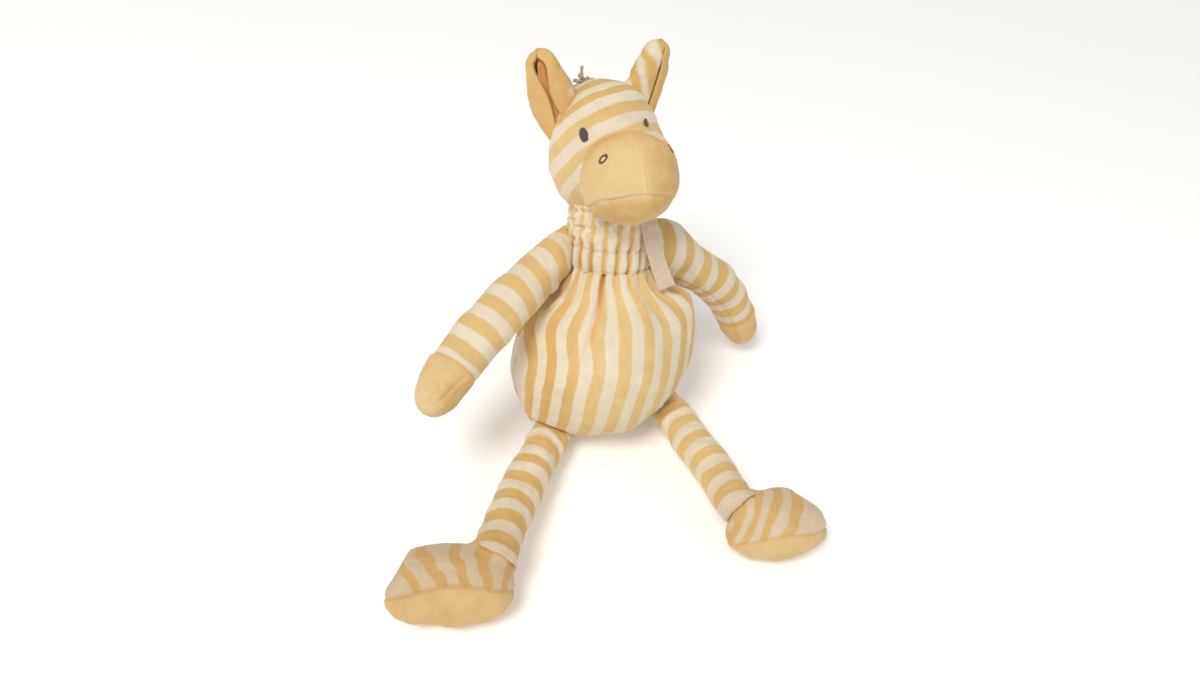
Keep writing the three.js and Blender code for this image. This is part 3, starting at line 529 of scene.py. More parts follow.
def body_skin():
    n, rows = int(480 * FINE), int(310 * FINE)
    phi = np.linspace(-math.pi, math.pi, n, endpoint=False)
    th = np.linspace(0.035, math.asin(46 / 60) * -1 + math.pi, int(rows * 0.78))
    low = np.stack([60 * np.sin(th), 1 - 58 * np.cos(th)], 1)
    b = np.array([[46, 38.2], [41.2, 43.8], [31.5, 51.8], [27.4, 64.9]])
    s = np.linspace(0, 1, rows - len(low) + 1)[1:, None]
    high = (1 - s) ** 3 * b[0] + 3 * s * (1 - s) ** 2 * b[1] + 3 * s * s * (1 - s) * b[2] + s ** 3 * b[3]
    prof = np.concatenate([low, high])
    arc = np.concatenate([[0], np.cumsum(np.linalg.norm(np.diff(prof, axis=0), axis=1))])
    below = arc[-1] - arc                                # mm below the gathering line
    d = unit(np.gradient(prof, axis=0))
    nr, nh = d[:, 1], -d[:, 0]                           # outward normal of the profile
    R, PH = np.meshgrid(prof[:, 0], phi, indexing="ij")
    H = np.broadcast_to(prof[:, 1][:, None], R.shape)
    S = np.broadcast_to(below[:, None], R.shape)
    ellip = smooth(8, 30, S)
    kx, ky = 1 + (61 / 60 - 1) * ellip, 1 + (58 / 60 - 1) * ellip
    x, y = R * np.sin(PH) * kx, -R * np.cos(PH) * ky
    x = x + 0.12 * H * (1 - smooth(30, 60, H))           # the filling has settled to one side
    p = np.stack([x, y, H], -1)
    normal = np.stack([np.sin(PH) * nr[:, None], -np.cos(PH) * nr[:, None], np.broadcast_to(nh[:, None], R.shape)], -1)
    off = np.zeros_like(R)
    for c, size, amount in (((51, -16, 30), 22, 4.0), ((46, -14, 42), 18, 5.0), ((-43, -9, -37), 20, 4.0), ((-56, 5, -15), 18, 1.0), ((42, -33, -22), 18, -1.5), ((5, -50, 34), 26, 1.6)):
        off += amount * bell(np.linalg.norm(p - np.array(c, float), axis=-1), size)

    # Gathers: narrow valleys that leave the gathering line and fade on their way down, with painted shade darkening
    # each one.
    r = np.random.default_rng(11)
    fold = np.zeros_like(R)
    deep = [(a + r.uniform(-0.02, 0.02), r.uniform(1.1, 2.3), r.uniform(10, 24), r.uniform(-0.0012, 0.0012), r.uniform(1.2, 1.8), 0.12, 0.11) for a in VALLEYS]
    deep += CREASES
    for a0, depth, long, drift, wide, dark, spread in deep:
        gap = (PH - a0 - drift * S + math.pi) % (2 * math.pi) - math.pi
        w = wide + spread * S
        v = bell(gap * R, w) * np.exp(-(S / long) ** 2)
        off -= depth * v
        fold += dark * depth * bell(gap * R, w * 0.5) * np.exp(-(S / long) ** 2)
        off += 0.40 * depth * bell(np.abs(gap * R) - 2.1 * w, w) * np.exp(-(S / (long * 0.9)) ** 2)
    off -= 0.9 * bell(S, 2.0)
    # Slack of a loosely filled bag: slow swells, and faint ripples across the lower belly.
    off += 0.55 * waves(p, 42, 3) + 0.16 * waves(p, 15, 4) * smooth(10, 40, S)
    off += 0.20 * waves(p * np.array([1, 1, 0.3]), 10, 5) * smooth(5, 20, S) * (1 - smooth(45, 90, S))
    # The side seams pull in, and so does the cloth round each limb that is sewn on; painted shade darkens a ring round
    # each limb.
    seam = bell(p[..., 1], 1.5) * smooth(2, 10, S)
    off -= 0.9 * seam
    w = from_body(p)
    for key, rr in (("arm_right", 15.0), ("arm_left", 15.0), ("leg_right", 13.4), ("leg_left", 12.8)):
        path, _ = LIMBS[key]
        dist = np.sqrt(((w.reshape(-1, 1, 3) - path[None, :70:5]) ** 2).sum(-1)).min(1).reshape(R.shape)
        off -= 1.6 * bell(dist - rr, 2.4)
        fold += 0.6 * bell(dist - rr + 0.6, 2.0)
        off += 0.35 * waves(w, 7, 21) * bell(dist - rr - 4, 4)
    # A little tuck low on the belly, at the left side of the toy, darkened by painted shade.
    tuck = w - np.array([42.0, -48.0, 24.0])
    line = unit([0.35, 0.25, 1.0])
    along = tuck @ line
    side = np.linalg.norm(tuck - along[..., None] * line, axis=-1)
    off -= 1.6 * bell(side, 2.4) * bell(along, 6)
    fold += 0.5 * bell(side, 1.6) * bell(along, 5)
    p = p + normal * off[..., None]
    w = from_body(p)
    w[..., 2] = 0.35 + 2.2 * np.logaddexp(0, (w[..., 2] - 0.35) / 2.2)
    # Round the gathers the bands fan out; lower down they hang straight.
    plumb = p[..., 0] - 0.12 * H * (1 - smooth(30, 60, H))
    rim = -58 * np.sqrt(np.clip(1 - (plumb / 61) ** 2, 0, 1))
    plumb = plumb - 0.30 * np.clip(p[..., 1] - rim, 0, 58) * (1 - smooth(-16, 2, H)) * (p[..., 1] < 0)
    flat = np.interp(plumb, LOW_X, LOW_T)
    flat = np.where(p[..., 1] < 0, flat, np.where(PH > 0, 22.16 - flat, -17.84 - flat))
    low = 1 - smooth(14, 46, H)
    stripe = bands(band_no(PH) * (1 - low) + flat * low + 0.05 * waves(p, 30, 8))
    shape = Shape()
    # Painted shade: the yellow deepens towards both sides of the body, more on the toy's right.
    loft(shape, w, w[0].mean(0), w[-1].mean(0), stripe=stripe, fold=np.clip(fold, 0, 1), worn=0.25 * smooth(0.6, 1.4, waves(p, 18, 9)),
         tone=np.where(p[..., 0] < 0, 1.0, 0.7) * smooth(18, 52, np.abs(p[..., 0])))
    return shape.mesh("body_skin")


# Creases that reach further down: angle, depth, length, drift of the angle per mm, half width, how dark its painted
# shade is, spread of the width.
CREASES = [(-0.47, 3.4, 50, -0.0030, 1.0, 0.36, 0.035), (0.30, 1.8, 34, 0.0040, 1.5, 0.10, 0.11), (0.62, 1.6, 42, 0.0055, 1.4, 0.14, 0.09), (0.95, 1.6, 44, 0.0050, 1.5, 0.14, 0.10),
           (-0.95, 1.8, 28, -0.003, 1.5, 0.12, 0.11), (1.35, 2.0, 36, 0.002, 1.8, 0.15, 0.11), (2.4, 2.2, 34, 0.002, 1.8, 0.15, 0.11), (-2.2, 2.2, 36, -0.003, 1.8, 0.15, 0.11), (3.0, 2.0, 32, 0.0, 1.8, 0.15, 0.11)]

whole = trunk = body_skin()
seam_at, seam_n = from_body([0, 0, 0]), -BACK
put("body_front_cloth", cut(whole, "body_front_cloth", [(seam_at, seam_n)]), STRIPED, "torso", ["body_front_panel", "body_stuffing"])
put("body_back_cloth", cut(whole, "body_back_cloth", [(seam_at, -seam_n)]), STRIPED, "torso", ["body_back_panel"])

# -------------------------------------------------------------------- neck

_r = np.random.default_rng(5)
_pleat_depth = _r.uniform(0.55, 1.2, PLEATS)
_pleat_shift = _r.uniform(-0.08, 0.08, PLEATS)


def neck_radius(h, phi):
    """Smocked folds between and above the two gathering threads. h is the height along the body's axis."""
    base = 27.1 + 0.7 * bell(h - 72.5, 5) + 0.8 * bell(h - 88, 7)
    pinch = 0.95 * bell(h - 65.5, 1.1) + 0.85 * bell(h - 79.5, 1.0)
    loose = smooth(80.5, 92, h)
    side = bell((phi + 1.35 + math.pi) % (2 * math.pi) - math.pi, 0.75)        # bunched most beside the right cheek
    wander = (0.05 + 0.10 * side) * loose * np.sin(h * 0.42 + 4 * phi) + 0.012 * np.sin(h * 0.5 + 5 * phi)
    k = (band_no(phi + wander) + 2 * PLEATS) / 2
    valley, near = np.zeros_like(k), np.zeros_like(k)
    for i in range(PLEATS):
        gap = (k - (i + _pleat_shift[i]) + PLEATS / 2) % PLEATS - PLEATS / 2
        valley += _pleat_depth[i] * bell(gap, 0.17 + 0.05 * loose)
        near += bell(np.abs(gap) - 0.5, 0.30)
    fade = (1.0 - 0.45 * loose) * (1 + 0.35 * side * (1 - loose))
    off = -2.5 * np.clip(valley, 0, 1.4) * fade + 0.5 * near * fade
    bunch = loose * (0.35 + 0.8 * side) * (0.8 * np.sin(h * 0.62 + 2.0 * phi + 1.1 * np.sin(3 * phi)) + 0.3 * np.sin(h * 1.1 - 4 * phi))
    return base - pinch + off + bunch, np.clip(valley, 0, 1.2) * fade


def neck_skin():
    n, rows = int(520 * FINE), int(150 * FINE)
    h = np.linspace(61, 107, rows)
    phi = np.linspace(-math.pi, math.pi, n, endpoint=False)
    H, PH = np.meshgrid(h, phi, indexing="ij")
    r, valley = neck_radius(H, PH)
    hidden = np.clip(1 - (64.7 - H) / 4.5, 0.8, 1.0)     # tucked under the body's gathered edge
    r = r * hidden
    p = np.stack([r * np.sin(PH), -r * np.cos(PH), H], -1)
    stripe = np.clip(bands(band_no(PH)) + 0.15, 0, 1)    # the yellow bands lie mostly inside the folds
    side = bell((PH + 1.1 + math.pi) % (2 * math.pi) - math.pi, 0.6)
    slots = bell((PH + 1.02 + math.pi) % (2 * math.pi) - math.pi, 0.34) * smooth(64.5, 67.5, H) * (1 - smooth(77.5, 80.5, H))
    # Painted shade in the valleys of the folds, most at one side and in two slots there, with a faint line along each
    # gathering thread.
    fold = np.clip((0.16 + 0.22 * side + 0.65 * slots) * valley * (1 - 0.5 * smooth(81, 90, H)) + 0.10 * bell(H - 65.5, 0.8) + 0.08 * bell(H - 79.5, 0.8), 0, 1)
    shape = Shape()
    w = from_body(p)
    loft(shape, w, stripe=stripe, fold=fold, worn=0.0)
    return shape.mesh("neck_cloth")


collar = neck_skin()
put("neck_cloth", collar, STRIPED, nodes=["neck_gathered_sleeve", "neck_stuffing"],
    blend=("torso", "neck", from_body([0, 0, 58]), from_body([0, 0, 74])))

for name, h, seed in (("lower", 65.5, 1), ("upper", 79.5, 2)):
    shape = Shape()
    phi = np.linspace(-math.pi, math.pi, 420)
    wob = 0.25 * np.sin(7 * phi + seed) + 0.15 * np.sin(17 * phi)
    r, valley = neck_radius(np.full_like(phi, h) + wob, phi)
    r = r + 0.05 + 0.9 * np.clip(valley, 0, 1)          # the thread bridges the valleys
    path = from_body(np.stack([r * np.sin(phi), -r * np.cos(phi), h + wob], -1))
    tube(shape, path[:-1], 0.16, 6)
    put(f"shirring_{name}", shape.mesh(f"shirring_{name}"), CREAM_THREAD, nodes=[f"shirring_thread_{name}"],
        blend=("torso", "neck", from_body([0, 0, 58]), from_body([0, 0, 74])))

# -------------------------------------------------------------------- head

HC, HR = np.array([0, 0, 0.0]), np.array([36, 42, 41.0])
MC, MR = np.array([0.5, -38, -10.0]), np.array([30, 31, 29.0])
INSIDE = np.array([0.3, -20, -4.0])
FACE_AT, FACE_N = np.array([0, -44.8, 16.0]), unit([-0.195, -0.974, -0.117])
MOUTH_AT, MOUTH_N = np.array([0, -68.6, -14.0]), unit([-0.107, -0.418, -0.908])
NOSE_X = 2.5
EARS = {"right": -1, "left": 1}


def reach(d, c, r):
    """Distance from INSIDE to an ellipsoid along d."""
    o, e = (INSIDE - c) / r, d / r
    a, b, k = (e * e).sum(-1), (e * o).sum(-1), (o * o).sum() - 1
    return (-b + np.sqrt(np.maximum(b * b - a * k, 0))) / a


def head_surface(d):
    """Skin point, painted crease shade and distance ahead of the face seam for directions d in the head frame, seen
    from INSIDE.
    """
    d = unit(d)
    r1, r2 = reach(d, HC, HR), reach(d, MC, MR)
    k = 0.30
    r = np.maximum(r1, r2) + np.log1p(np.exp(-k * np.abs(r1 - r2))) / k
    p = INSIDE + d * r[..., None]
    ahead = (p - FACE_AT) @ FACE_N
    mouth = (p - MOUTH_AT) @ MOUTH_N
    off = 0.30 * waves(p, 26, 31) + 0.12 * waves(p, 10, 32)
    fold = np.zeros_like(off)
    top = smooth(-5, 12, p[..., 2])
    off += 1.2 * top * bell(ahead + 8, 6)                # the brow runs level down to the muzzle
    for c, size, amount in (((-31, 2, -20), 17, 5.0), ((-25, -6, -29), 12, 3.0), ((32, -11, 15), 15, -3.0), ((-15, 11, 36), 12, 1.5)):
        off += amount * bell(np.linalg.norm(p - np.array(c, float), axis=-1), size)
    # The muzzle swells over its seam, most of all along the top; painted shade lines the seam.
    off += (0.6 + 0.9 * top) * bell(ahead - 5.0, 4.0) - (1.3 + 0.5 * top) * bell(ahead, 1.2)
    fold += (0.16 + 0.12 * top) * bell(ahead + 0.5, 1.6)
    off += 0.18 * np.sin(np.arctan2(p[..., 0], p[..., 2] + 8) * 46) * bell(ahead, 3.0)
    snout = smooth(0.0, 1.5, ahead)
    above = 1 - smooth(-2, 2, mouth)
    # Middle seam of the muzzle: a soft ridge on one side of a shallow line, with painted shade in the line.
    mid = p[..., 0] - NOSE_X
    low_mid = above * snout * (1 - smooth(9, 15, p[..., 2]))
    off += (0.55 * bell(mid + 1.2, 1.6) - 0.50 * bell(mid, 0.7)) * low_mid
    fold += 0.09 * bell(mid - 0.3, 0.8) * low_mid
    faint = 1 - 0.75 * smooth(10, 22, p[..., 0])
    # The mouth seam: a groove between two swells, with painted shade in it.
    off += (-1.1 * bell(mouth, 0.9) + 0.65 * bell(mouth + 2.6, 2.2) + 0.4 * bell(mouth - 3.2, 2.6)) * snout * faint
    fold += 0.16 * bell(mouth - 0.5, 0.8) * snout * faint
    off -= 0.30 * bell(p[..., 0], 0.9) * (1 - snout) * smooth(8, 20, p[..., 2]) * smooth(0, 14, p[..., 1])
    # Where an ear is sewn on, the crown is pulled in, and painted shade rings the ear's base.
    for s in (-1, 1):
        e = p - np.array([s * 25.5, 3.0, 28.0])
        dist = np.linalg.norm(e * np.array([1, 0.85, 1]), axis=-1)
        off -= 1.5 * bell(dist - 7.0, 4.5)
        fold += 0.35 * bell(dist - 9.0, 2.6)
        off += 0.22 * waves(p, 6, 41) * bell(dist - 13, 5)
    # Puckers where the neck's folds are caught under the head, with painted shade along them.
    b = (p @ HEAD_M.T + HEAD_O - BODY_O) @ BODY_M
    rho = np.hypot(b[..., 0], b[..., 1])
    low = 1 - smooth(104, 122, b[..., 2])
    off -= 1.3 * bell(rho - 29.5, 3.4) * low
    fold += 0.5 * bell(rho - 29.5, 2.6) * low
    off += 0.5 * np.sin(np.arctan2(b[..., 0], -b[..., 1]) * 21 + 1.5 * waves(b, 20, 6)) * bell(rho - 34, 6) * low
    return p + d * off[..., None], np.clip(fold, 0, 1), ahead


BAND_AT = np.array([-60, -52, -45, -38, -31.5, -26, -20.8, -14.8, -5.7, 1.4, 11.0, 17.4, 25.5, 33.5, 41.5, 50.0])
BAND_NO = np.arange(-8, 8.0)
BAND_N = unit([0.174, -0.551, -0.816])


def head_skin():
    n, rows = int(420 * FINE), int(330 * FINE)
    ax = unit([0, -0.95, -0.31])
    e1 = unit(np.cross(np.array([1.0, 0, 0]), ax))
    e2 = np.array([1.0, 0, 0])
    if e1[2] < 0:
        e1 = -e1
    th = np.linspace(0.02, math.pi - 0.02, rows)
    u = np.linspace(0, 2 * math.pi, n, endpoint=False)
    T, Uu = np.meshgrid(th, u, indexing="ij")
    d = ax * np.cos(T)[..., None] + (e1 * np.cos(Uu)[..., None] + e2 * np.sin(Uu)[..., None]) * np.sin(T)[..., None]
    p, fold, ahead = head_surface(d)
    stripe = bands(np.interp(p @ BAND_N, BAND_AT, BAND_NO) + 0.05 * waves(p, 22, 12))
    snout = smooth(0.0, 1.5, ahead)
    # Painted shade: the crown and the toy's left side of the head take the deeper yellow; on the muzzle so do its left
    # half, the chin and the top beside its seam.
    tone = 0.8 * smooth(18, 34, p[..., 2]) * (1 - snout) + 0.35 * smooth(8, 28, p[..., 0]) * (1 - snout)
    tone = tone + snout * np.maximum(np.maximum(0.40 * smooth(NOSE_X - 0.5, NOSE_X + 2.5, p[..., 0]) * smooth(16, 8, p[..., 2]) + 0.60 * smooth(0, 24, p[..., 0] - 0.35 * p[..., 2]), smooth(-2, 5, (p - MOUTH_AT) @ MOUTH_N)), 0.95 * (1 - smooth(3, 15, ahead)) * smooth(-4, 8, p[..., 2]))
    # The seams of the muzzle stand up a little, and painted highlight lightens their ridges; a faint pale patch lies
    # low at the front of the muzzle.
    mouth = (p - MOUTH_AT) @ MOUTH_N
    pale = 0.3 * bell(p[..., 0], 9) * smooth(10, 18, ahead) * bell(p[..., 2] + 8, 9)
    pale = pale + 0.9 * bell(mouth + 1.1, 0.8) * snout * (1 - 0.6 * smooth(10, 22, p[..., 0]))
    pale = np.clip(pale + 0.7 * bell(p[..., 0] - NOSE_X + 1.1, 0.8) * snout * (1 - smooth(-2, 2, mouth)) * (1 - smooth(9, 15, p[..., 2])), 0, 1)
    shape = Shape()
    w = from_head(p)
    loft(shape, w, w[0].mean(0), w[-1].mean(0), stripe=stripe, tone=np.clip(tone, 0, 1), fold=fold, worn=pale)
    return shape.mesh("head_skin")


whole = head_skin()
hp = lambda p: from_head(p)
hn = lambda v: HEAD_M @ np.asarray(v, float)
X = np.array([1.0, 0, 0])
for name, nodes, planes, mat, slot in (
        ("head_left_cloth", ["head_panel_left", "head_stuffing"], [(hp(FACE_AT), -hn(FACE_N)), (hp([0, 0, 0]), hn(X))], STRIPED, "striped_velour"),
        ("head_right_cloth", ["head_panel_right"], [(hp(FACE_AT), -hn(FACE_N)), (hp([0, 0, 0]), -hn(X))], STRIPED, "striped_velour"),
        ("muzzle_left_cloth", ["muzzle_panel_left"], [(hp(FACE_AT), hn(FACE_N)), (hp(MOUTH_AT), -hn(MOUTH_N)), (hp([NOSE_X, 0, 0]), hn(X))], PLAIN, "yellow_velour"),
        ("muzzle_right_cloth", ["muzzle_panel_right"], [(hp(FACE_AT), hn(FACE_N)), (hp(MOUTH_AT), -hn(MOUTH_N)), (hp([NOSE_X, 0, 0]), -hn(X))], PLAIN, "yellow_velour"),
        ("chin_cloth", ["chin_panel"], [(hp(FACE_AT), hn(FACE_N)), (hp(MOUTH_AT), hn(MOUTH_N))], PLAIN, "yellow_velour")):
    put(name, cut(whole, name, planes), mat, "head", nodes)


def on_face(local, lift):
    """A point on the head's skin in the direction of a point in the head frame, lifted off it by lift mm."""
    local = np.asarray(local, float)
    d = unit(local - INSIDE)
    p, _, _ = head_surface(d)
    return from_head(p + d * np.reshape(lift, (-1, 1)))


EYES = {"right": ((-20.1, -29.8, 14.8), -0.55, 2.75, 4.05), "left": ((11.8, -34.2, 15.3), 0.80, 1.5, 2.9)}
for key, (c, lean, a, b) in EYES.items():
    # Satin stitches side by side, each a thread over a low cushion of thread.
    shape, r = Shape(), np.random.default_rng(60 + len(key))
    c = np.array(c)
    nrm = unit(c / HR ** 2)
    over = unit(np.cross(nrm, [0, 0, 1.0]))
    if over[0] < 0:
        over = -over
    upw = np.cross(over, nrm)
    upw = upw if upw[2] > 0 else -upw
    slant = 0.25
    for lift, shrink, pitch, rad in ((0.05, 0.86, 0.62, 0.36), (0.34, 1.0, 0.36, 0.24)):
        for q in np.arange(-b, b + 0.01, pitch):
            if abs(q) > b * 0.99:
                continue
            half = a * math.sqrt(max(1 - (q / b) ** 2, 0.04)) * shrink
            l0, l1 = -half + r.uniform(-0.28, 0.2), half + r.uniform(-0.2, 0.28)
            x = np.linspace(l0, l1, 9)
            y = q + slant * x + r.uniform(-0.05, 0.05)
            dome = 0.40 * np.clip(1 - (x / (half + 0.3)) ** 2, 0, 1)
            pts = c + over * (x + lean * y)[:, None] + upw * y[:, None]
            tube(shape, on_face(pts, lift + dome), rad, 6)
    put(f"eye_{key}_stitches", shape.mesh(f"eye_{key}_stitches"), EYE_THREAD, "head", [f"eye_{key}"])

NOSTRILS = {"right": (-18.3, -53.9, 7.0), "left": (23.3, -51.0, 6.0)}
for key, c in NOSTRILS.items():
    shape, r = Shape(), np.random.default_rng(70 + len(key))
    c = np.array(c)
    nrm = unit((c - MC) / MR ** 2)
    over = unit(np.cross(nrm, [0, 0, 1.0]))
    if over[0] < 0:
        over = -over
    upw = np.cross(over, nrm)
    upw = upw if upw[2] > 0 else -upw
    for k in np.arange(0, 2 * math.pi, 2 * math.pi / 40):
        rr = np.linspace(1.75 + r.uniform(-0.12, 0.1), 2.75 + r.uniform(-0.1, 0.15), 5)
        x, y = rr * math.cos(k) * 0.86, rr * math.sin(k + 0.12) * 1.05
        pts = c + over * (x + 0.25 * y)[:, None] + upw * y[:, None]
        tube(shape, on_face(pts, 0.14 + 0.20 * np.sin(np.linspace(0.25, math.pi - 0.25, 5))), 0.21, 6)
    put(f"nostril_{key}_stitches", shape.mesh(f"nostril_{key}_stitches"), NOSTRIL_THREAD, "head", [f"nostril_ring_{key}"])

# -------------------------------------------------------------------- ears


EAR_TURN = {"right": -39, "left": 27}      # where each slit looks, degrees about the head's height
EAR_TIP = {"right": (-35.5, 5, 62.5), "left": (40.5, 5, 58.5)}
KNOTS = np.array([-0.30, 0.0, 0.20, 0.40, 0.60, 0.75, 0.86, 0.94, 1.0])
EAR_WIDE = {"right": [8.0, 10.8, 12.4, 12.9, 12.4, 11.0, 9.0, 6.4, 0.3], "left": [7.5, 9.6, 11.0, 11.2, 10.2, 8.6, 7.2, 5.4, 0.3]}
EAR_GAP = {"right": [2.0, 3.0, 5.0, 9.5, 17.5, 26.0, 26.0, 4.5, 1.0], "left": [1.0, 1.0, 1.2, 1.5, 2.0, 2.5, 2.5, 1.5, 1.0]}     # half the slit, degrees


def ear(key):
    """Two layers rolled into a pod with thick lips and a narrow slit between them."""
    s = EARS[key]
    base, tip = from_head([s * 27, 4, 25.5]), from_head(EAR_TIP[key])
    long = unit(tip - base)
    a = math.radians(EAR_TURN[key])
    face = HEAD_M @ np.array([math.sin(a), -math.cos(a), 0])
    face = unit(face - long * (face @ long))
    wide = np.cross(long, face)
    length = np.linalg.norm(tip - base)
    drop = HEAD_M @ unit([s * 0.30, -0.05, -0.95])
    wide_k, gap_k = EAR_WIDE[key], EAR_GAP[key]
    deep_k = [5.5, 6.6, 7.4, 7.6, 7.0, 6.2, 5.2, 3.8, 0.3]

    def smooth_knots(x, values):
        x = np.clip(x, -0.3, 1)
        fine = np.linspace(-0.3, 1, 261)
        y = np.interp(fine, KNOTS, values)
        ker = np.hanning(21)
        ker /= ker.sum()
        y = np.convolve(np.pad(y, 10, mode="reflect", reflect_type="odd"), ker, "valid")
        return np.interp(x, fine, y)

    def mid(u, v):
        w, dp = smooth_knots(u, wide_k), smooth_knots(u, deep_k)
        end = np.radians(180 - smooth_knots(u, gap_k))
        ang = v * end
        lean = 0.6 * np.sin(math.pi * np.clip(u, 0, 1)) * v * s
        up = u * length + 0.6 * np.cos(ang)
        out = -dp * np.cos(ang) * 0.92 + 3.0 * np.clip(u, 0, 1) ** 2 - 1.0
        x = w * np.sin(ang) + lean
        crown = np.clip(-v * s, 0, 1)                    # the lobe beside the crown spreads onto it
        side = np.sin(math.pi * np.clip(v * s, 0, 1))
        if s < 0:                                        # the outer lobe hangs full beside the head
            x = x + s * (5.0 * side * bell(u - 0.22, 0.30) + 3.0 * np.sin(math.pi * crown) * bell(u - 0.62, 0.28))
        x = x - s * (8.0 * np.sin(math.pi * crown) if s > 0 else 2.0 * crown) * np.exp(-(np.clip(u + 0.05, 0, 1) / 0.24) ** 2)
        x = x - s * np.clip(v * s, 0, 1) * 1.4 * bell(u - 0.74, 0.10) * (s > 0)
        p = base + long * up[..., None] + wide * x[..., None] + face * out[..., None]
        # The outer lobe runs on down the side of the head.
        low = 1 - smooth(-0.2, 0.34, u)
        return p + drop * (low * smooth(0.1, 0.7, v * s) * (7 if s < 0 else 2.5))[..., None]

    rows, n = int(110 * FINE), int(220 * FINE)
    u = np.linspace(-0.22, 1, rows)
    al = np.linspace(0, math.pi, n)
    U, AL = np.meshgrid(u, al, indexing="ij")
    V = np.cos(AL)
    e = 2e-3
    m = mid(U, V)
    du = mid(np.clip(U + e, -0.3, 1), V) - mid(np.clip(U - e, -0.3, 1), V)
    dv = mid(U, np.clip(V + e, -1, 1)) - mid(U, np.clip(V - e, -1, 1))
    normal = unit(np.cross(du, dv))
    if (normal[rows // 2, n // 2] @ face) > 0:
        normal = -normal                                  # towards the back of the ear
    close = np.sqrt(np.clip(1 - np.clip((U - 0.84) / 0.16, 0, 1) ** 2, 0.0, 1))
    thick = (1.7 + 0.75 * np.abs(V) ** 6) * np.abs(np.sin(AL)) ** 0.5 * (0.45 + 0.55 * close)
    lumps = 0.20 * waves(m, 10, 80 + s) + 0.08 * waves(m, 5, 82 + s)
    crease = (0.9 * bell(V - 0.42, 0.06) + 0.7 * bell(V + 0.30, 0.06) + 0.6 * bell(V - 0.74, 0.05) + 0.6 * bell(V + 0.66, 0.05)) * (1 - smooth(0.0, 0.38, U))
    cap = np.abs(np.sin(AL))
    plump = ((11.0 if s < 0 else 9.0) * bell(V - 0.3 * s, 0.60) + 1.8 * bell(np.abs(V) - 0.55, 0.25)) * smooth_knots(U, deep_k) / 7.6 * cap * close
    for name, sign, mat, slot in (("outer", 1, STRIPED, "striped_velour"), ("lining", -1, PLAIN, "yellow_velour")):
        skin = m + normal * (sign * (thick + (lumps - crease) * cap + (plump if sign < 0 else 0)))[..., None]
        inner = m + normal * (sign * 0.03)
        ring = np.concatenate([skin, inner[:, ::-1][:, 1:-1]], 1)
        # The lip away from the crown is cut from one yellow band.
        outside = smooth(-0.05, 0.10, V * s)
        rel = skin - base
        if s > 0:
            t = 0.48 + (bands(rel @ EAR_LEFT_WAY / 5.6 + 0.3 + 0.2 * waves(m, 14, 91)) - 0.5) * 0.24
        else:
            t = 0.34 + 0.17 * bands((rel @ EAR_RIGHT_WAY - 8.0) / 8.5 + 1.0) * smooth(0.10, 0.24, U) * (1 - smooth(0.52, 0.70, U))
        stripe = np.clip(t, 0, 1) * (1 - outside)
        # Painted shade: the lining darkens towards a warm orange deep in the slit, and the outside in its creases and
        # at its base.
        if sign < 0:
            deep = 0.95 * smooth(0.0, 0.10, 1 - np.abs(V)) + 0 * U
        else:
            deep = 0.6 * np.clip(crease, 0, 1) + 0.45 * (1 - smooth(-0.02, 0.10, U)) * cap
        st = np.concatenate([stripe, stripe[:, ::-1][:, 1:-1]], 1)
        fo = np.concatenate([np.clip(deep, 0, 1), np.clip(deep, 0, 1)[:, ::-1][:, 1:-1]], 1)
        shape = Shape()
        # Painted shade: the ears take the deeper yellow.
        loft(shape, ring, ring[0].mean(0), ring[-1].mean(0), stripe=st, fold=fo, tone=0.8, worn=0.0)
        put(f"ear_{key}_{name}_cloth", shape.mesh(f"ear_{key}_{name}_cloth"), mat, f"ear_{key}", [f"ear_{key}_{name}"])


EAR_LEFT_WAY = unit([0.84, -0.24, 0.30])       # across the narrow bands of the left ear
EAR_RIGHT_WAY = unit([0.91, -0.40, 0.05])
for key in EARS:
    ear(key)

# ------------------------------------------------------------- mane and tail


def yarn(shape, start, way, length, radius, r, curl=1.0, sides=7, steps=11):
    """One short cut cord: it stands up, then bends over, a little crooked."""
    a = unit(np.cross(way, r.normal(size=3)))
    b = np.cross(way, a)
    k = np.linspace(0, 1, steps)[:, None]
    bend = r.uniform(0.1, 0.5) * curl
    f1, f2 = r.uniform(2.5, 5.0, 2)
    p1, p2 = r.uniform(0, 6.28, 2)
    path = start + way * length * (k - 0.25 * bend * k * k) + a * length * (bend * k * k + 0.07 * np.sin(f1 * k + p1) * k) + b * length * 0.08 * np.sin(f2 * k + p2) * k
    rad = radius * (1 + 0.10 * np.sin(np.linspace(0, 14, steps) + p1))
    rad[-1] *= 1.15
    return tube(shape, path, rad, sides)


shape, r = Shape(), np.random.default_rng(90)
for a in np.arange(108, 181, 1.9):
    for col in (-1.5, 0.0, 1.5) if a > 114 else (-0.9, 0.7):
        col -= 5.5 * (1 - smooth(110, 126, a))
        t = math.radians(a + r.uniform(-0.7, 0.7))
        d = np.array([(col + r.uniform(-0.35, 0.35)) / 40, -math.cos(t), math.sin(t)])
        local = d * HR
        lift = from_head(local)
        nrm = unit(HEAD_M @ (d / HR))
        front = a < 114
        grow = 8.2 if front else 4.6 + 3.0 * smooth(116, 140, a)
        way = unit(nrm + HEAD_M @ np.array([col * 0.16 - (0.9 if front else 0), 0.30, 0.0]) + r.normal(size=3) * 0.14)
        yarn(shape, lift - nrm * 0.8, way, grow * r.uniform(0.8, 1.15), 1.05 if front else 0.80, r, 2.4 if front else 1.3)
put("mane_yarns", shape.mesh("mane_yarns"), YARN, "head", ["mane_cords"])

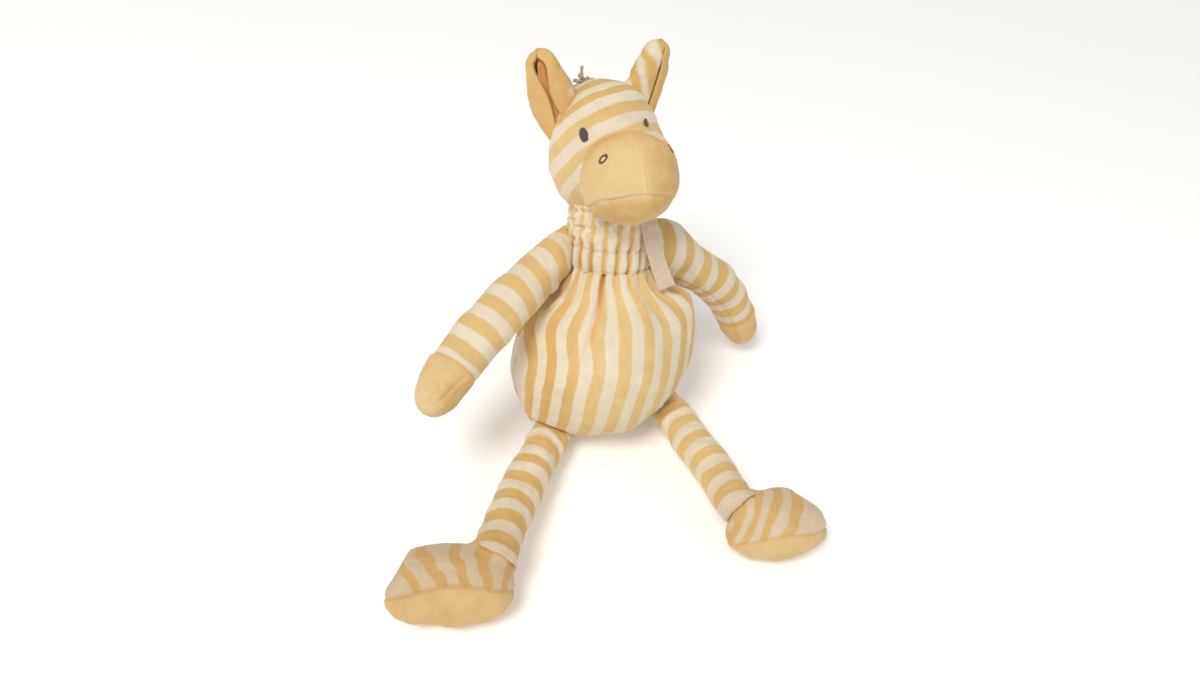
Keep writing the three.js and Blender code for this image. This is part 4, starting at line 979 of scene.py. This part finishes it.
root, m1, m2 = from_body([0, 55.5, -18]), np.array([-4, 62, 14.0]), np.array([-6, 84, 8.5])
k = np.linspace(0, 1, 90)[:, None]
path = (1 - k) ** 2 * root + 2 * k * (1 - k) * m1 + k * k * m2
t, a, b = frames_along(path)
th = np.linspace(0, 2 * math.pi, 40, endpoint=False)
K, TH = np.meshgrid(k[:, 0], th, indexing="ij")
rad = 4.0 * (0.86 + 0.16 * smooth(0, 0.2, K)) + 0.18 * np.sin(K * 26 + 2 * np.sin(TH)) - 0.5 * bell(TH - 1.2, 0.12)
rad *= np.sqrt(np.clip(1 - np.clip((K - 0.93) / 0.07, 0, 1) ** 2 * 0.55, 0, 1))
p = path[:, None] + (a[:, None] * np.cos(TH)[..., None] + b[:, None] * np.sin(TH)[..., None]) * rad[..., None]
shape = Shape()
# Painted shade along the tail's seam.
loft(shape, p, path[0] - t[0] * 1.5, path[-1] + t[-1] * 1.5, stripe=bands(K * 46 / 8.5 + 0.3), fold=0.4 * bell(TH - 1.2, 0.12), worn=0.0)
put("tail_cloth", shape.mesh("tail_cloth"), STRIPED, "tail", ["tail_strip"])
shape, r = Shape(), np.random.default_rng(95)
end, way = path[-1], t[-1] * np.array([1, 1, 0.4])
for i in range(54):
    ang, rr = r.uniform(0, 2 * math.pi), 2.9 * math.sqrt(r.uniform(0, 1))
    start = end + (a[-1] * math.cos(ang) + b[-1] * math.sin(ang)) * rr + t[-1] * r.uniform(-1.0, 1.0)
    w = unit(unit(way) + (a[-1] * math.cos(ang) + b[-1] * math.sin(ang)) * 0.07 * rr + r.normal(size=3) * 0.05)
    one = Shape()
    yarn(one, start, w, 25 * r.uniform(0.85, 1.05), 0.7, r, 0.28)
    v = one.v[0]
    v[:, 2] = np.maximum(v[:, 2], 0.45 + 0.15 * (v[:, 2] - 0.45))
    shape.add(v, one.f)
put("tail_yarns", shape.mesh("tail_yarns"), YARN, "tail", ["tail_tuft"])

# -------------------------------------------------------------------- label

top, end = from_body([14.1, -29, 98.6]), from_body([30.5, -29.5, 56])
down = unit(end - top)
outw = BODY_M @ np.array([-0.26, -0.966, 0])
outw = unit(outw - down * (outw @ down))
across = unit(np.cross(outw, down))
ABOVE, LONG, WIDE, THICK = 2.0, 48.2, 10.5, 0.42
s = np.linspace(-ABOVE, LONG - ABOVE, int(110 * FINE))
v = np.linspace(-WIDE / 2, WIDE / 2, int(28 * FINE))
S, V = np.meshgrid(s, v, indexing="ij")
q = np.clip(S / 48, 0, 1)
lift = 0.2 + 0.8 * np.sin(q * math.pi) + 0.30 * np.sin(S * 0.16 + V * 0.12) - 0.010 * V * V * np.sin(q * math.pi) + 0.05 * V * smooth(5, 40, S) - 1.6 * (1 - smooth(-2.5, 2.5, S))
bow = -1.5 * np.sin(np.clip((S + ABOVE) / LONG, 0, 1) * math.pi) + 0.3 * smooth(30, 48, S) * V / 5
mid = top + down * (S - 0.10 * V * smooth(30, 48, S))[..., None] + across * (V + bow)[..., None] + outw * lift[..., None]
ring = np.concatenate([mid + outw * THICK / 2, (mid - outw * THICK / 2)[:, ::-1]], 1)
both = lambda x: np.concatenate([x, x[:, ::-1]], 1)
shape = Shape()
loft(shape, ring, along=both(S), across=both(V), selvedge=both(np.clip(smooth(4.4, 5.0, np.abs(V)) + smooth(46.0, 47.4, S), 0, 1)))
label = put("neck_label_tape", shape.mesh("neck_label_tape"), TAPE, nodes=["label_tape"], blend=("neck", "label", top - down * 4, top + down * 2))

# -------------------------------------------------------------------- arms

ARMS = {
    "arm_right": dict(hand="hand_right", phase=0.1, sway=-1, seam=4.15, width=1.05, root=0.50, slim=0.0),
    "arm_left": dict(hand="hand_left", phase=0.9, sway=1, seam=2.1, width=1.0, root=1.45, slim=1.6),
}


def palm(S, TH, wrist, length):
    line = (TH - 5.17 - 0.012 * (S - wrist)) * 14
    return bell(line, 1.3) * smooth(wrist + 1, wrist + 6, S) * (1 - smooth(length + 2, length + 11, S))


sewn_to = Solid(trunk, collar)
for key, o in ARMS.items():
    path, length = LIMBS[key]
    wrist = 0.83 * length
    seed = 100 + (key == "arm_left")

    def radius(S, TH, o=o, length=length, wrist=wrist, seed=seed):
        q = np.clip(S / length, 0, 1)
        r = 14.3 + 0.9 * smooth(0.05, 0.35, q) - 0.4 * smooth(0.5, 0.8, q) - 1.2 * smooth(0.85, 1.12, S / length)
        r = r * o["width"]
        # The sewn-on end is pressed flat in the side seam, so it stands tall and thin.
        flat = 1 - smooth(-6, 32, S)
        up_, dn_ = np.clip(np.cos(TH), 0, 1), np.clip(-np.cos(TH), 0, 1)
        r = r * (1 + flat * (o["root"] * up_ ** 2 + 0.02 * dn_ ** 2 - 0.24 * np.sin(TH) ** 2))
        r = r - o["slim"] * smooth(wrist - 10, length + 8, S) * dn_
        r -= 0.8 * bell(S - wrist, 1.0) - 0.35 * bell(S - wrist - 4, 3)
        u = (TH - o["seam"] + math.pi) % (2 * math.pi) - math.pi
        r -= 0.75 * bell(u * 14, 1.2)
        w = S[..., None] * np.array([1.0, 0, 0]) + 14 * np.stack([np.zeros_like(S), np.cos(TH), np.sin(TH)], -1)
        r += 0.42 * waves(w, 26, seed) + 0.16 * waves(w, 10, seed + 20)
        r += 0.30 * waves(w * np.array([2.2, 1, 1]), 17, seed + 30) * (1 - smooth(8, 30, S))
        dart = bell((TH - o["seam"] - o["sway"] * 1.0 + math.pi) % (2 * math.pi) - math.pi, 0.10) * bell(S - wrist - 9, 6)
        if o["hand"] == "hand_right":                     # a tuck along the palm, and wrinkles over it
            r -= 0.9 * palm(S, TH, wrist, length)
            r += 0.35 * np.sin((S - wrist) * 0.95 + 2.2 * TH) * bell(TH - 5.75, 0.45) * smooth(wrist + 4, wrist + 9, S) * (1 - smooth(length, length + 10, S))
        return r - 1.0 * dart

    S, TH, p, start, finish, (t0, t1) = limb_skin(key, radius, int(160 * FINE), sewn_to, ahead=15, tip=24)
    near = S - S[3:4]
    u = (TH - o["seam"] + math.pi) % (2 * math.pi) - math.pi
    w = S[..., None] * X + 14 * np.stack([np.zeros_like(S), np.cos(TH), np.sin(TH)], -1)
    # Painted shade at the root, along the seam, at the wrist and, on the right hand, along the palm's tuck; the arms
    # also take some of the deeper yellow, the right hand most on one side of that tuck.
    fold = 0.50 * bell(near, 1.8) + (0.22 + 0.22 * smooth(wrist - 2, wrist + 4, S)) * bell(u * 14, 1.0) + 0.26 * bell(S - wrist, 0.9)
    tone = np.full_like(S, 0.6)
    if key == "arm_right":
        fold = fold + 0.40 * palm(S, TH, wrist, length)
        tone = 0.25 + 0.55 * smooth(wrist - 1, wrist + 3, S) * smooth(5.2, 5.05, TH) * smooth(2.6, 3.4, TH)
    arcs = S / 8.5 + o["phase"] + 0.04 * waves(w, 25, seed + 40)
    shape = Shape()
    loft(shape, p, start, finish, stripe=bands(arcs), fold=np.clip(fold, 0, 1), tone=tone, worn=0.5 * smooth(length + 2, length + 12, S) + 0 * TH)
    me = shape.mesh(key)
    k = 0.83 * (len(path) - 1)
    at = path[int(k)]
    nrm = unit(path[int(k) + 1] - path[int(k) - 1])
    blend = ("torso", key, path[0] - t0 * 2, path[0] + t0 * 20)
    put(f"{key}_cloth", cut(me, f"{key}_cloth", [(at, -nrm)]), STRIPED, nodes=[f"{key}_sleeve", f"{key}_stuffing"], blend=blend)
    put(f"{o['hand']}_cloth", cut(me, f"{o['hand']}_cloth", [(at, nrm)]), PLAIN, key, [f"{o['hand']}_cap"])

# --------------------------------------------------------------------- feet

LEG_R = {"right": 13.5, "left": 12.8}
# Bands across each foot: where they cross the sole seam, and how far they lean towards the toe by the instep.
FEET = {
    "right": dict(at=[-139.8, -124.5, 20.4], yaw=163, tilt=50, half=[36.4, 18.6, 28.2, 15.4], power=2.7, arch=11.0, under=(-4, 30), heel=0.0, bump=(4, -1.3), taper=-0.06, toe=(0.60, 21), back=1.0,
                  seam_at=[-44, -34.7, -30.8, -24.7, -18.6, -13.1, -8.1, -0.4, 5.2, 12.9, 18.5, 21.5],
                  band=[-1.5, -0.5, 0.5, 1.5, 2.5, 3.5, 4.5, 5.5, 6.5, 7.5, 8.5, 9.0], lean=(0.33, 30, 13.5)),
    "left": dict(at=[60.2, -147.9, 20.9], yaw=-12, tilt=38, half=[33.2, 18.4, 27.0, 15.6], power=2.1, arch=2.5, under=(4, 22), heel=3.0, bump=(2, -1.5), taper=0.22, toe=(0.0, 21), back=0.93,
                 seam_at=[-42, -34.0, -30.2, -26.4, -22.5, -17.5, -11.0, -4.0, 4.4, 7.4],
                 band=[7.5, 6.5, 5.5, 4.5, 3.5, 2.5, 1.5, 0.5, -0.5, -1.0], lean=(0.0, 0, 13.3)),
}
SOLE_AT = 6.0
foot_solids = {}
for key, o in FEET.items():
    yaw, tl = math.radians(o["yaw"]), math.radians(o["tilt"])
    toe = np.array([math.cos(yaw), math.sin(yaw), 0])
    fwd = np.array([-math.sin(yaw), math.cos(yaw), 0])
    if fwd[1] > 0:
        fwd = -fwd
    sole = fwd * math.sin(tl) + np.array([0, 0, -math.cos(tl)])
    wide = np.cross(sole, toe)
    Fm = np.stack([toe, wide, sole], 1)
    Fo = np.array(o["at"], float)
    n, rows = int(260 * FINE), int(220 * FINE)
    th = np.linspace(0.02, math.pi - 0.02, rows)
    ph = np.linspace(0, 2 * math.pi, n, endpoint=False)
    T, PHI = np.meshgrid(th, ph, indexing="ij")
    d = np.stack([np.cos(T), np.sin(T) * np.cos(PHI), np.sin(T) * np.sin(PHI)], -1)
    hx, hy, hu, hs = o["half"]
    pw = o["power"]
    hz = np.where(d[..., 2] < 0, hu, hs)
    r = 1 / (np.abs(d[..., 0] / hx) ** pw + np.abs(d[..., 1] / hy) ** pw + np.abs(d[..., 2] / hz) ** pw) ** (1 / pw)
    p = d * r[..., None]                                  # here the sole seam lies at a height of 0
    upper = 1 - smooth(-10, 0, p[..., 2])
    # The upper is highest over the instep and slopes to the toe.
    p[..., 2] *= 1 - o["taper"] * smooth(4, hx * 0.85, p[..., 0]) * (p[..., 2] < 0)
    p[..., 2] *= 1 - o["toe"][0] * smooth(o["toe"][1], hx - 1, p[..., 0]) * (p[..., 2] < 0)
    p[..., 0] *= np.where(p[..., 0] < 0, o["back"], 1.0)
    at0, low_by = o["bump"]
    p[..., 2] += upper * low_by * bell(p[..., 0] - at0 - 6, 14) * bell(p[..., 1], 14)
    p[..., 1] *= 1 - 0.06 * smooth(0, hx, p[..., 0])
    z = p[..., 2]
    out = unit(p / np.stack([np.full_like(hz, hx), np.full_like(hz, hy), hz], -1) ** 2)
    off = -0.85 * bell(z, 1.1) + 0.35 * bell(z - 4, 3) + 0.25 * bell(z + 4, 3)
    off += 0.38 * waves(p, 22, 180 + len(key)) + 0.14 * waves(p, 8, 181 + len(key))
    off += 0.13 * np.sin(np.arctan2(p[..., 1], p[..., 0]) * 30 + 2 * waves(p, 20, 7)) * bell(z, 2.6)
    ridge = bell(p[..., 1], 1.0) * (z < -6) * smooth(-6, 6, p[..., 0])
    dent = bell(p[..., 0] * 0.8 + z * 0.5 + (8 if key == "right" else -4), 1.3) * bell(z + 5, 5) * (key == "right")
    off -= 0.35 * ridge + 0.5 * dent
    # Painted shade along the sole seam, the ridge and the dent.
    fold = 0.22 * bell(z, 1.3) + 0.12 * ridge + 0.22 * dent
    a_, b_, c_ = o["lean"]
    t = np.clip(-z / 24, 0, 1.2)
    bent = (p[..., 0] - a_ * b_ * t) / (1 + a_ * t)
    far_ = p[..., 0] - c_ * t
    along = np.where(bent > far_, bent, far_) if a_ else far_
    stripe = bands(np.interp(along + 0.5 * waves(p, 18, 190), o["seam_at"], o["band"]))
    p = p + out * off[..., None]

    def stand(q, o=o, Fm=Fm, Fo=Fo, key=key):
        """From the foot's own lengthwise, widthwise and sole directions to its place on the floor."""
        q = np.array(q, float)
        near = smooth(-12, 12, q[..., 1]) * 0.25 + 0.75
        q[..., 2] += SOLE_AT - o["arch"] * bell(q[..., 0] - o["under"][0], o["under"][1]) * near * (1 - smooth(6, 16, q[..., 2])) * smooth(-28, -3, q[..., 2])
        q[..., 2] += o["heel"] * (1 - smooth(-32, -8, q[..., 0])) * (1 - smooth(6, 14, q[..., 2]))
        w = q @ Fm.T + Fo
        w[..., 2] = 0.35 + 1.6 * np.logaddexp(0, (w[..., 2] - 0.35) / 1.6)
        return w

    # The cloth stands up round the leg that is sewn to it.
    leg_path = LIMBS[f"leg_{key}"][0]
    w = stand(p)
    dist = np.sqrt(((w.reshape(-1, 1, 3) - leg_path[None, 100::5]) ** 2).sum(-1)).min(1).reshape(T.shape)
    lr = LEG_R[key]
    off = 4.2 * bell(np.maximum(dist - lr + 0.8, 0), 3.6) * smooth(lr - 9, lr - 4, dist)
    # Painted shade where the leg meets the foot.
    fold = np.clip(fold + 0.18 * bell(dist - lr - 0.8, 1.6), 0, 1)
    p = p + out * off[..., None]
    shape = Shape()
    loft(shape, p, p[0].mean(0), p[-1].mean(0), stripe=stripe, fold=fold, worn=0.25 * bell(z + 1.5, 1.3), shade=(1.0 if key == "right" else 0.7) * (1 - 0.5 * smooth(-1, 2, z)))
    me = shape.mesh(f"foot_{key}")
    parts = {"upper": cut(me, f"foot_{key}_upper_cloth", [(np.zeros(3), np.array([0, 0, -1.0]))]), "sole": cut(me, f"foot_{key}_sole_cloth", [(np.zeros(3), np.array([0, 0, 1.0]))])}
    for part in (me, *parts.values()):
        co = np.empty(len(part.vertices) * 3)
        part.vertices.foreach_get("co", co)
        part.vertices.foreach_set("co", (stand(co.reshape(-1, 3) / MM) * MM).ravel())
        part.update()
    foot_solids[key] = Solid(me)
    put(f"foot_{key}_upper_cloth", parts["upper"], STRIPED, f"foot_{key}", [f"foot_{key}_upper", f"foot_{key}_stuffing"])
    put(f"foot_{key}_sole_cloth", parts["sole"], PLAIN, f"foot_{key}", [f"foot_{key}_sole"])

# --------------------------------------------------------------------- legs

LEGS = {
    "leg_right": dict(r=LEG_R["right"], phase=0.2, seam=3.9),
    "leg_left": dict(r=LEG_R["left"], phase=1.0, seam=2.4),
}
hips = Solid(trunk)
for key, o in LEGS.items():
    path, length = LIMBS[key]
    seed = 140 + (key == "leg_left")

    def radius(S, TH, o=o, length=length, seed=seed):
        q = S / length
        r = o["r"] * (0.92 + 0.08 * smooth(0.0, 0.2, q)) - 0.3 * smooth(0.85, 1.0, q)
        u = (TH - o["seam"] + math.pi) % (2 * math.pi) - math.pi
        r -= 0.6 * bell(u * 13, 1.1)
        w = S[..., None] * np.array([1.0, 0, 0]) + 13 * np.stack([np.zeros_like(S), np.cos(TH), np.sin(TH)], -1)
        r += 0.40 * waves(w, 24, seed) + 0.15 * waves(w, 9, seed + 20)
        # Folds across the leg where it bends off the body and over the foot.
        hip = 0.50 * np.sin(S * 0.62 + 0.9 * np.sin(TH + 0.7) + 0.4) * bell(S - 26, 13) * (0.55 + 0.45 * np.cos(TH))
        ankle = 0.30 * np.sin((length - S) * 0.6 + 1.1 * np.sin(TH)) * bell(S - length + 6, 9) * (0.5 + 0.5 * np.cos(TH))
        return r + hip + ankle

    S, TH, p, start, finish, (t0, t1) = limb_skin(key, radius, int(140 * FINE), hips, foot_solids[key[4:]], reach_in=14, keep=40)
    p[..., 2] = np.maximum(p[..., 2], 0.5 + 0.12 * (p[..., 2] - 0.5))
    w = S[..., None] * X + 13 * np.stack([np.zeros_like(S), np.cos(TH), np.sin(TH)], -1)
    u = (TH - o["seam"] + math.pi) % (2 * math.pi) - math.pi
    # Painted shade in the folds at the hip, at both sewn ends and along the seam; the legs also take some of the deeper
    # yellow.
    dip = np.clip(-np.sin(S * 0.62 + 0.9 * np.sin(TH + 0.7) + 0.4), 0, 1) * bell(S - 26, 13)
    fold = 0.5 * bell(S - S[3:4], 1.8) + 0.12 * bell(S - S[-4:-3], 1.2) + 0.22 * bell(u * 13, 1.0) + 0.40 * dip ** 2
    shape = Shape()
    loft(shape, p, start, finish, stripe=bands(S / 8.5 + o["phase"] + 0.05 * waves(w, 22, seed + 40)), fold=np.clip(fold, 0, 1), tone=0.7 if key == "leg_right" else 0.2, worn=0.0,
         shade=0.45 * smooth(length - 34, length - 4, S))
    put(f"{key}_cloth", shape.mesh(f"{key}_cloth"), STRIPED, nodes=[f"{key}_sleeve", f"{key}_stuffing"],
        blend=("torso", key, path[0] - t0 * 2, path[0] + t0 * 22))

# ------------------------------------------------------------------- studio

az, el, roll = math.radians(-24), math.radians(42), math.radians(4)
b = np.array([math.sin(az) * math.cos(el), -math.cos(az) * math.cos(el), math.sin(el)])
r0 = np.array([math.cos(az), math.sin(az), 0])
u0 = np.array([-math.sin(az) * math.sin(el), math.cos(az) * math.sin(el), math.cos(el)])
right = r0 * math.cos(roll) + u0 * math.sin(roll)
upv = -r0 * math.sin(roll) + u0 * math.cos(roll)
where = np.array([-186.04, -414.51, 474.48])
cam = bpy.data.cameras.new("camera")
cam.lens, cam.sensor_width, cam.clip_start, cam.clip_end = 27, 36, 0.01, 30
eye = bpy.data.objects.new("camera", cam)
bpy.context.scene.collection.objects.link(eye)
eye.matrix_world = Matrix([[right[i], upv[i], b[i], where[i] * MM] for i in range(3)] + [[0, 0, 0, 1]])
bpy.context.scene.camera = eye

floor_m = material("studio_floor")
n = Nodes(floor_m)
grain = n.noise(3, 2, 0.5)
c = n.mix(n.spread(grain, 0.3, 0.7, 0, 1), (0.97, 0.97, 0.97), (0.98, 0.98, 0.98))
s_ = n.add("BsdfPrincipled", {"Base Color": c, "Roughness": 0.9, "Specular IOR Level": 0.1, "Emission Color": (1.0, 1.0, 1.0, 1.0), "Emission Strength": 0.12})
floor_m.node_tree.links.new(s_.outputs[0], n.add("OutputMaterial").inputs[0])
me = bpy.data.meshes.new("studio_floor")
me.from_pydata([(-6, -6, 0), (6, -6, 0), (6, 6, 0), (-6, 6, 0)], [], [(0, 1, 2, 3)])
floor = bpy.data.objects.new("studio_floor", me)
me.materials.append(floor_m)
bpy.context.scene.collection.objects.link(floor)

world = bpy.data.worlds.new("studio")
bpy.context.scene.world = world
world.use_nodes = True
bg = world.node_tree.nodes["Background"]
bg.inputs["Color"].default_value = (1.0, 0.985, 0.96, 1)
bg.inputs["Strength"].default_value = 0.48


def lamp(name, place, aim, size, power, colour):
    data = bpy.data.lights.new(name, "AREA")
    data.shape, data.size, data.energy, data.color = "DISK", size, power, colour
    o = bpy.data.objects.new(name, data)
    bpy.context.scene.collection.objects.link(o)
    o.location = place
    o.rotation_mode = "QUATERNION"
    o.rotation_quaternion = (Vector(aim) - Vector(place)).to_track_quat("-Z", "Y")


lamp("key", (-1.45, -1.05, 2.9), (0, -0.03, 0.08), 1.3, 68, (1.0, 0.985, 0.96))
lamp("fill", (1.6, -1.6, 1.4), (0, -0.03, 0.08), 1.4, 7, (1.0, 0.97, 0.94))
bpy.context.scene.view_settings.view_transform = "Standard"
bpy.context.scene.view_settings.look = "None"
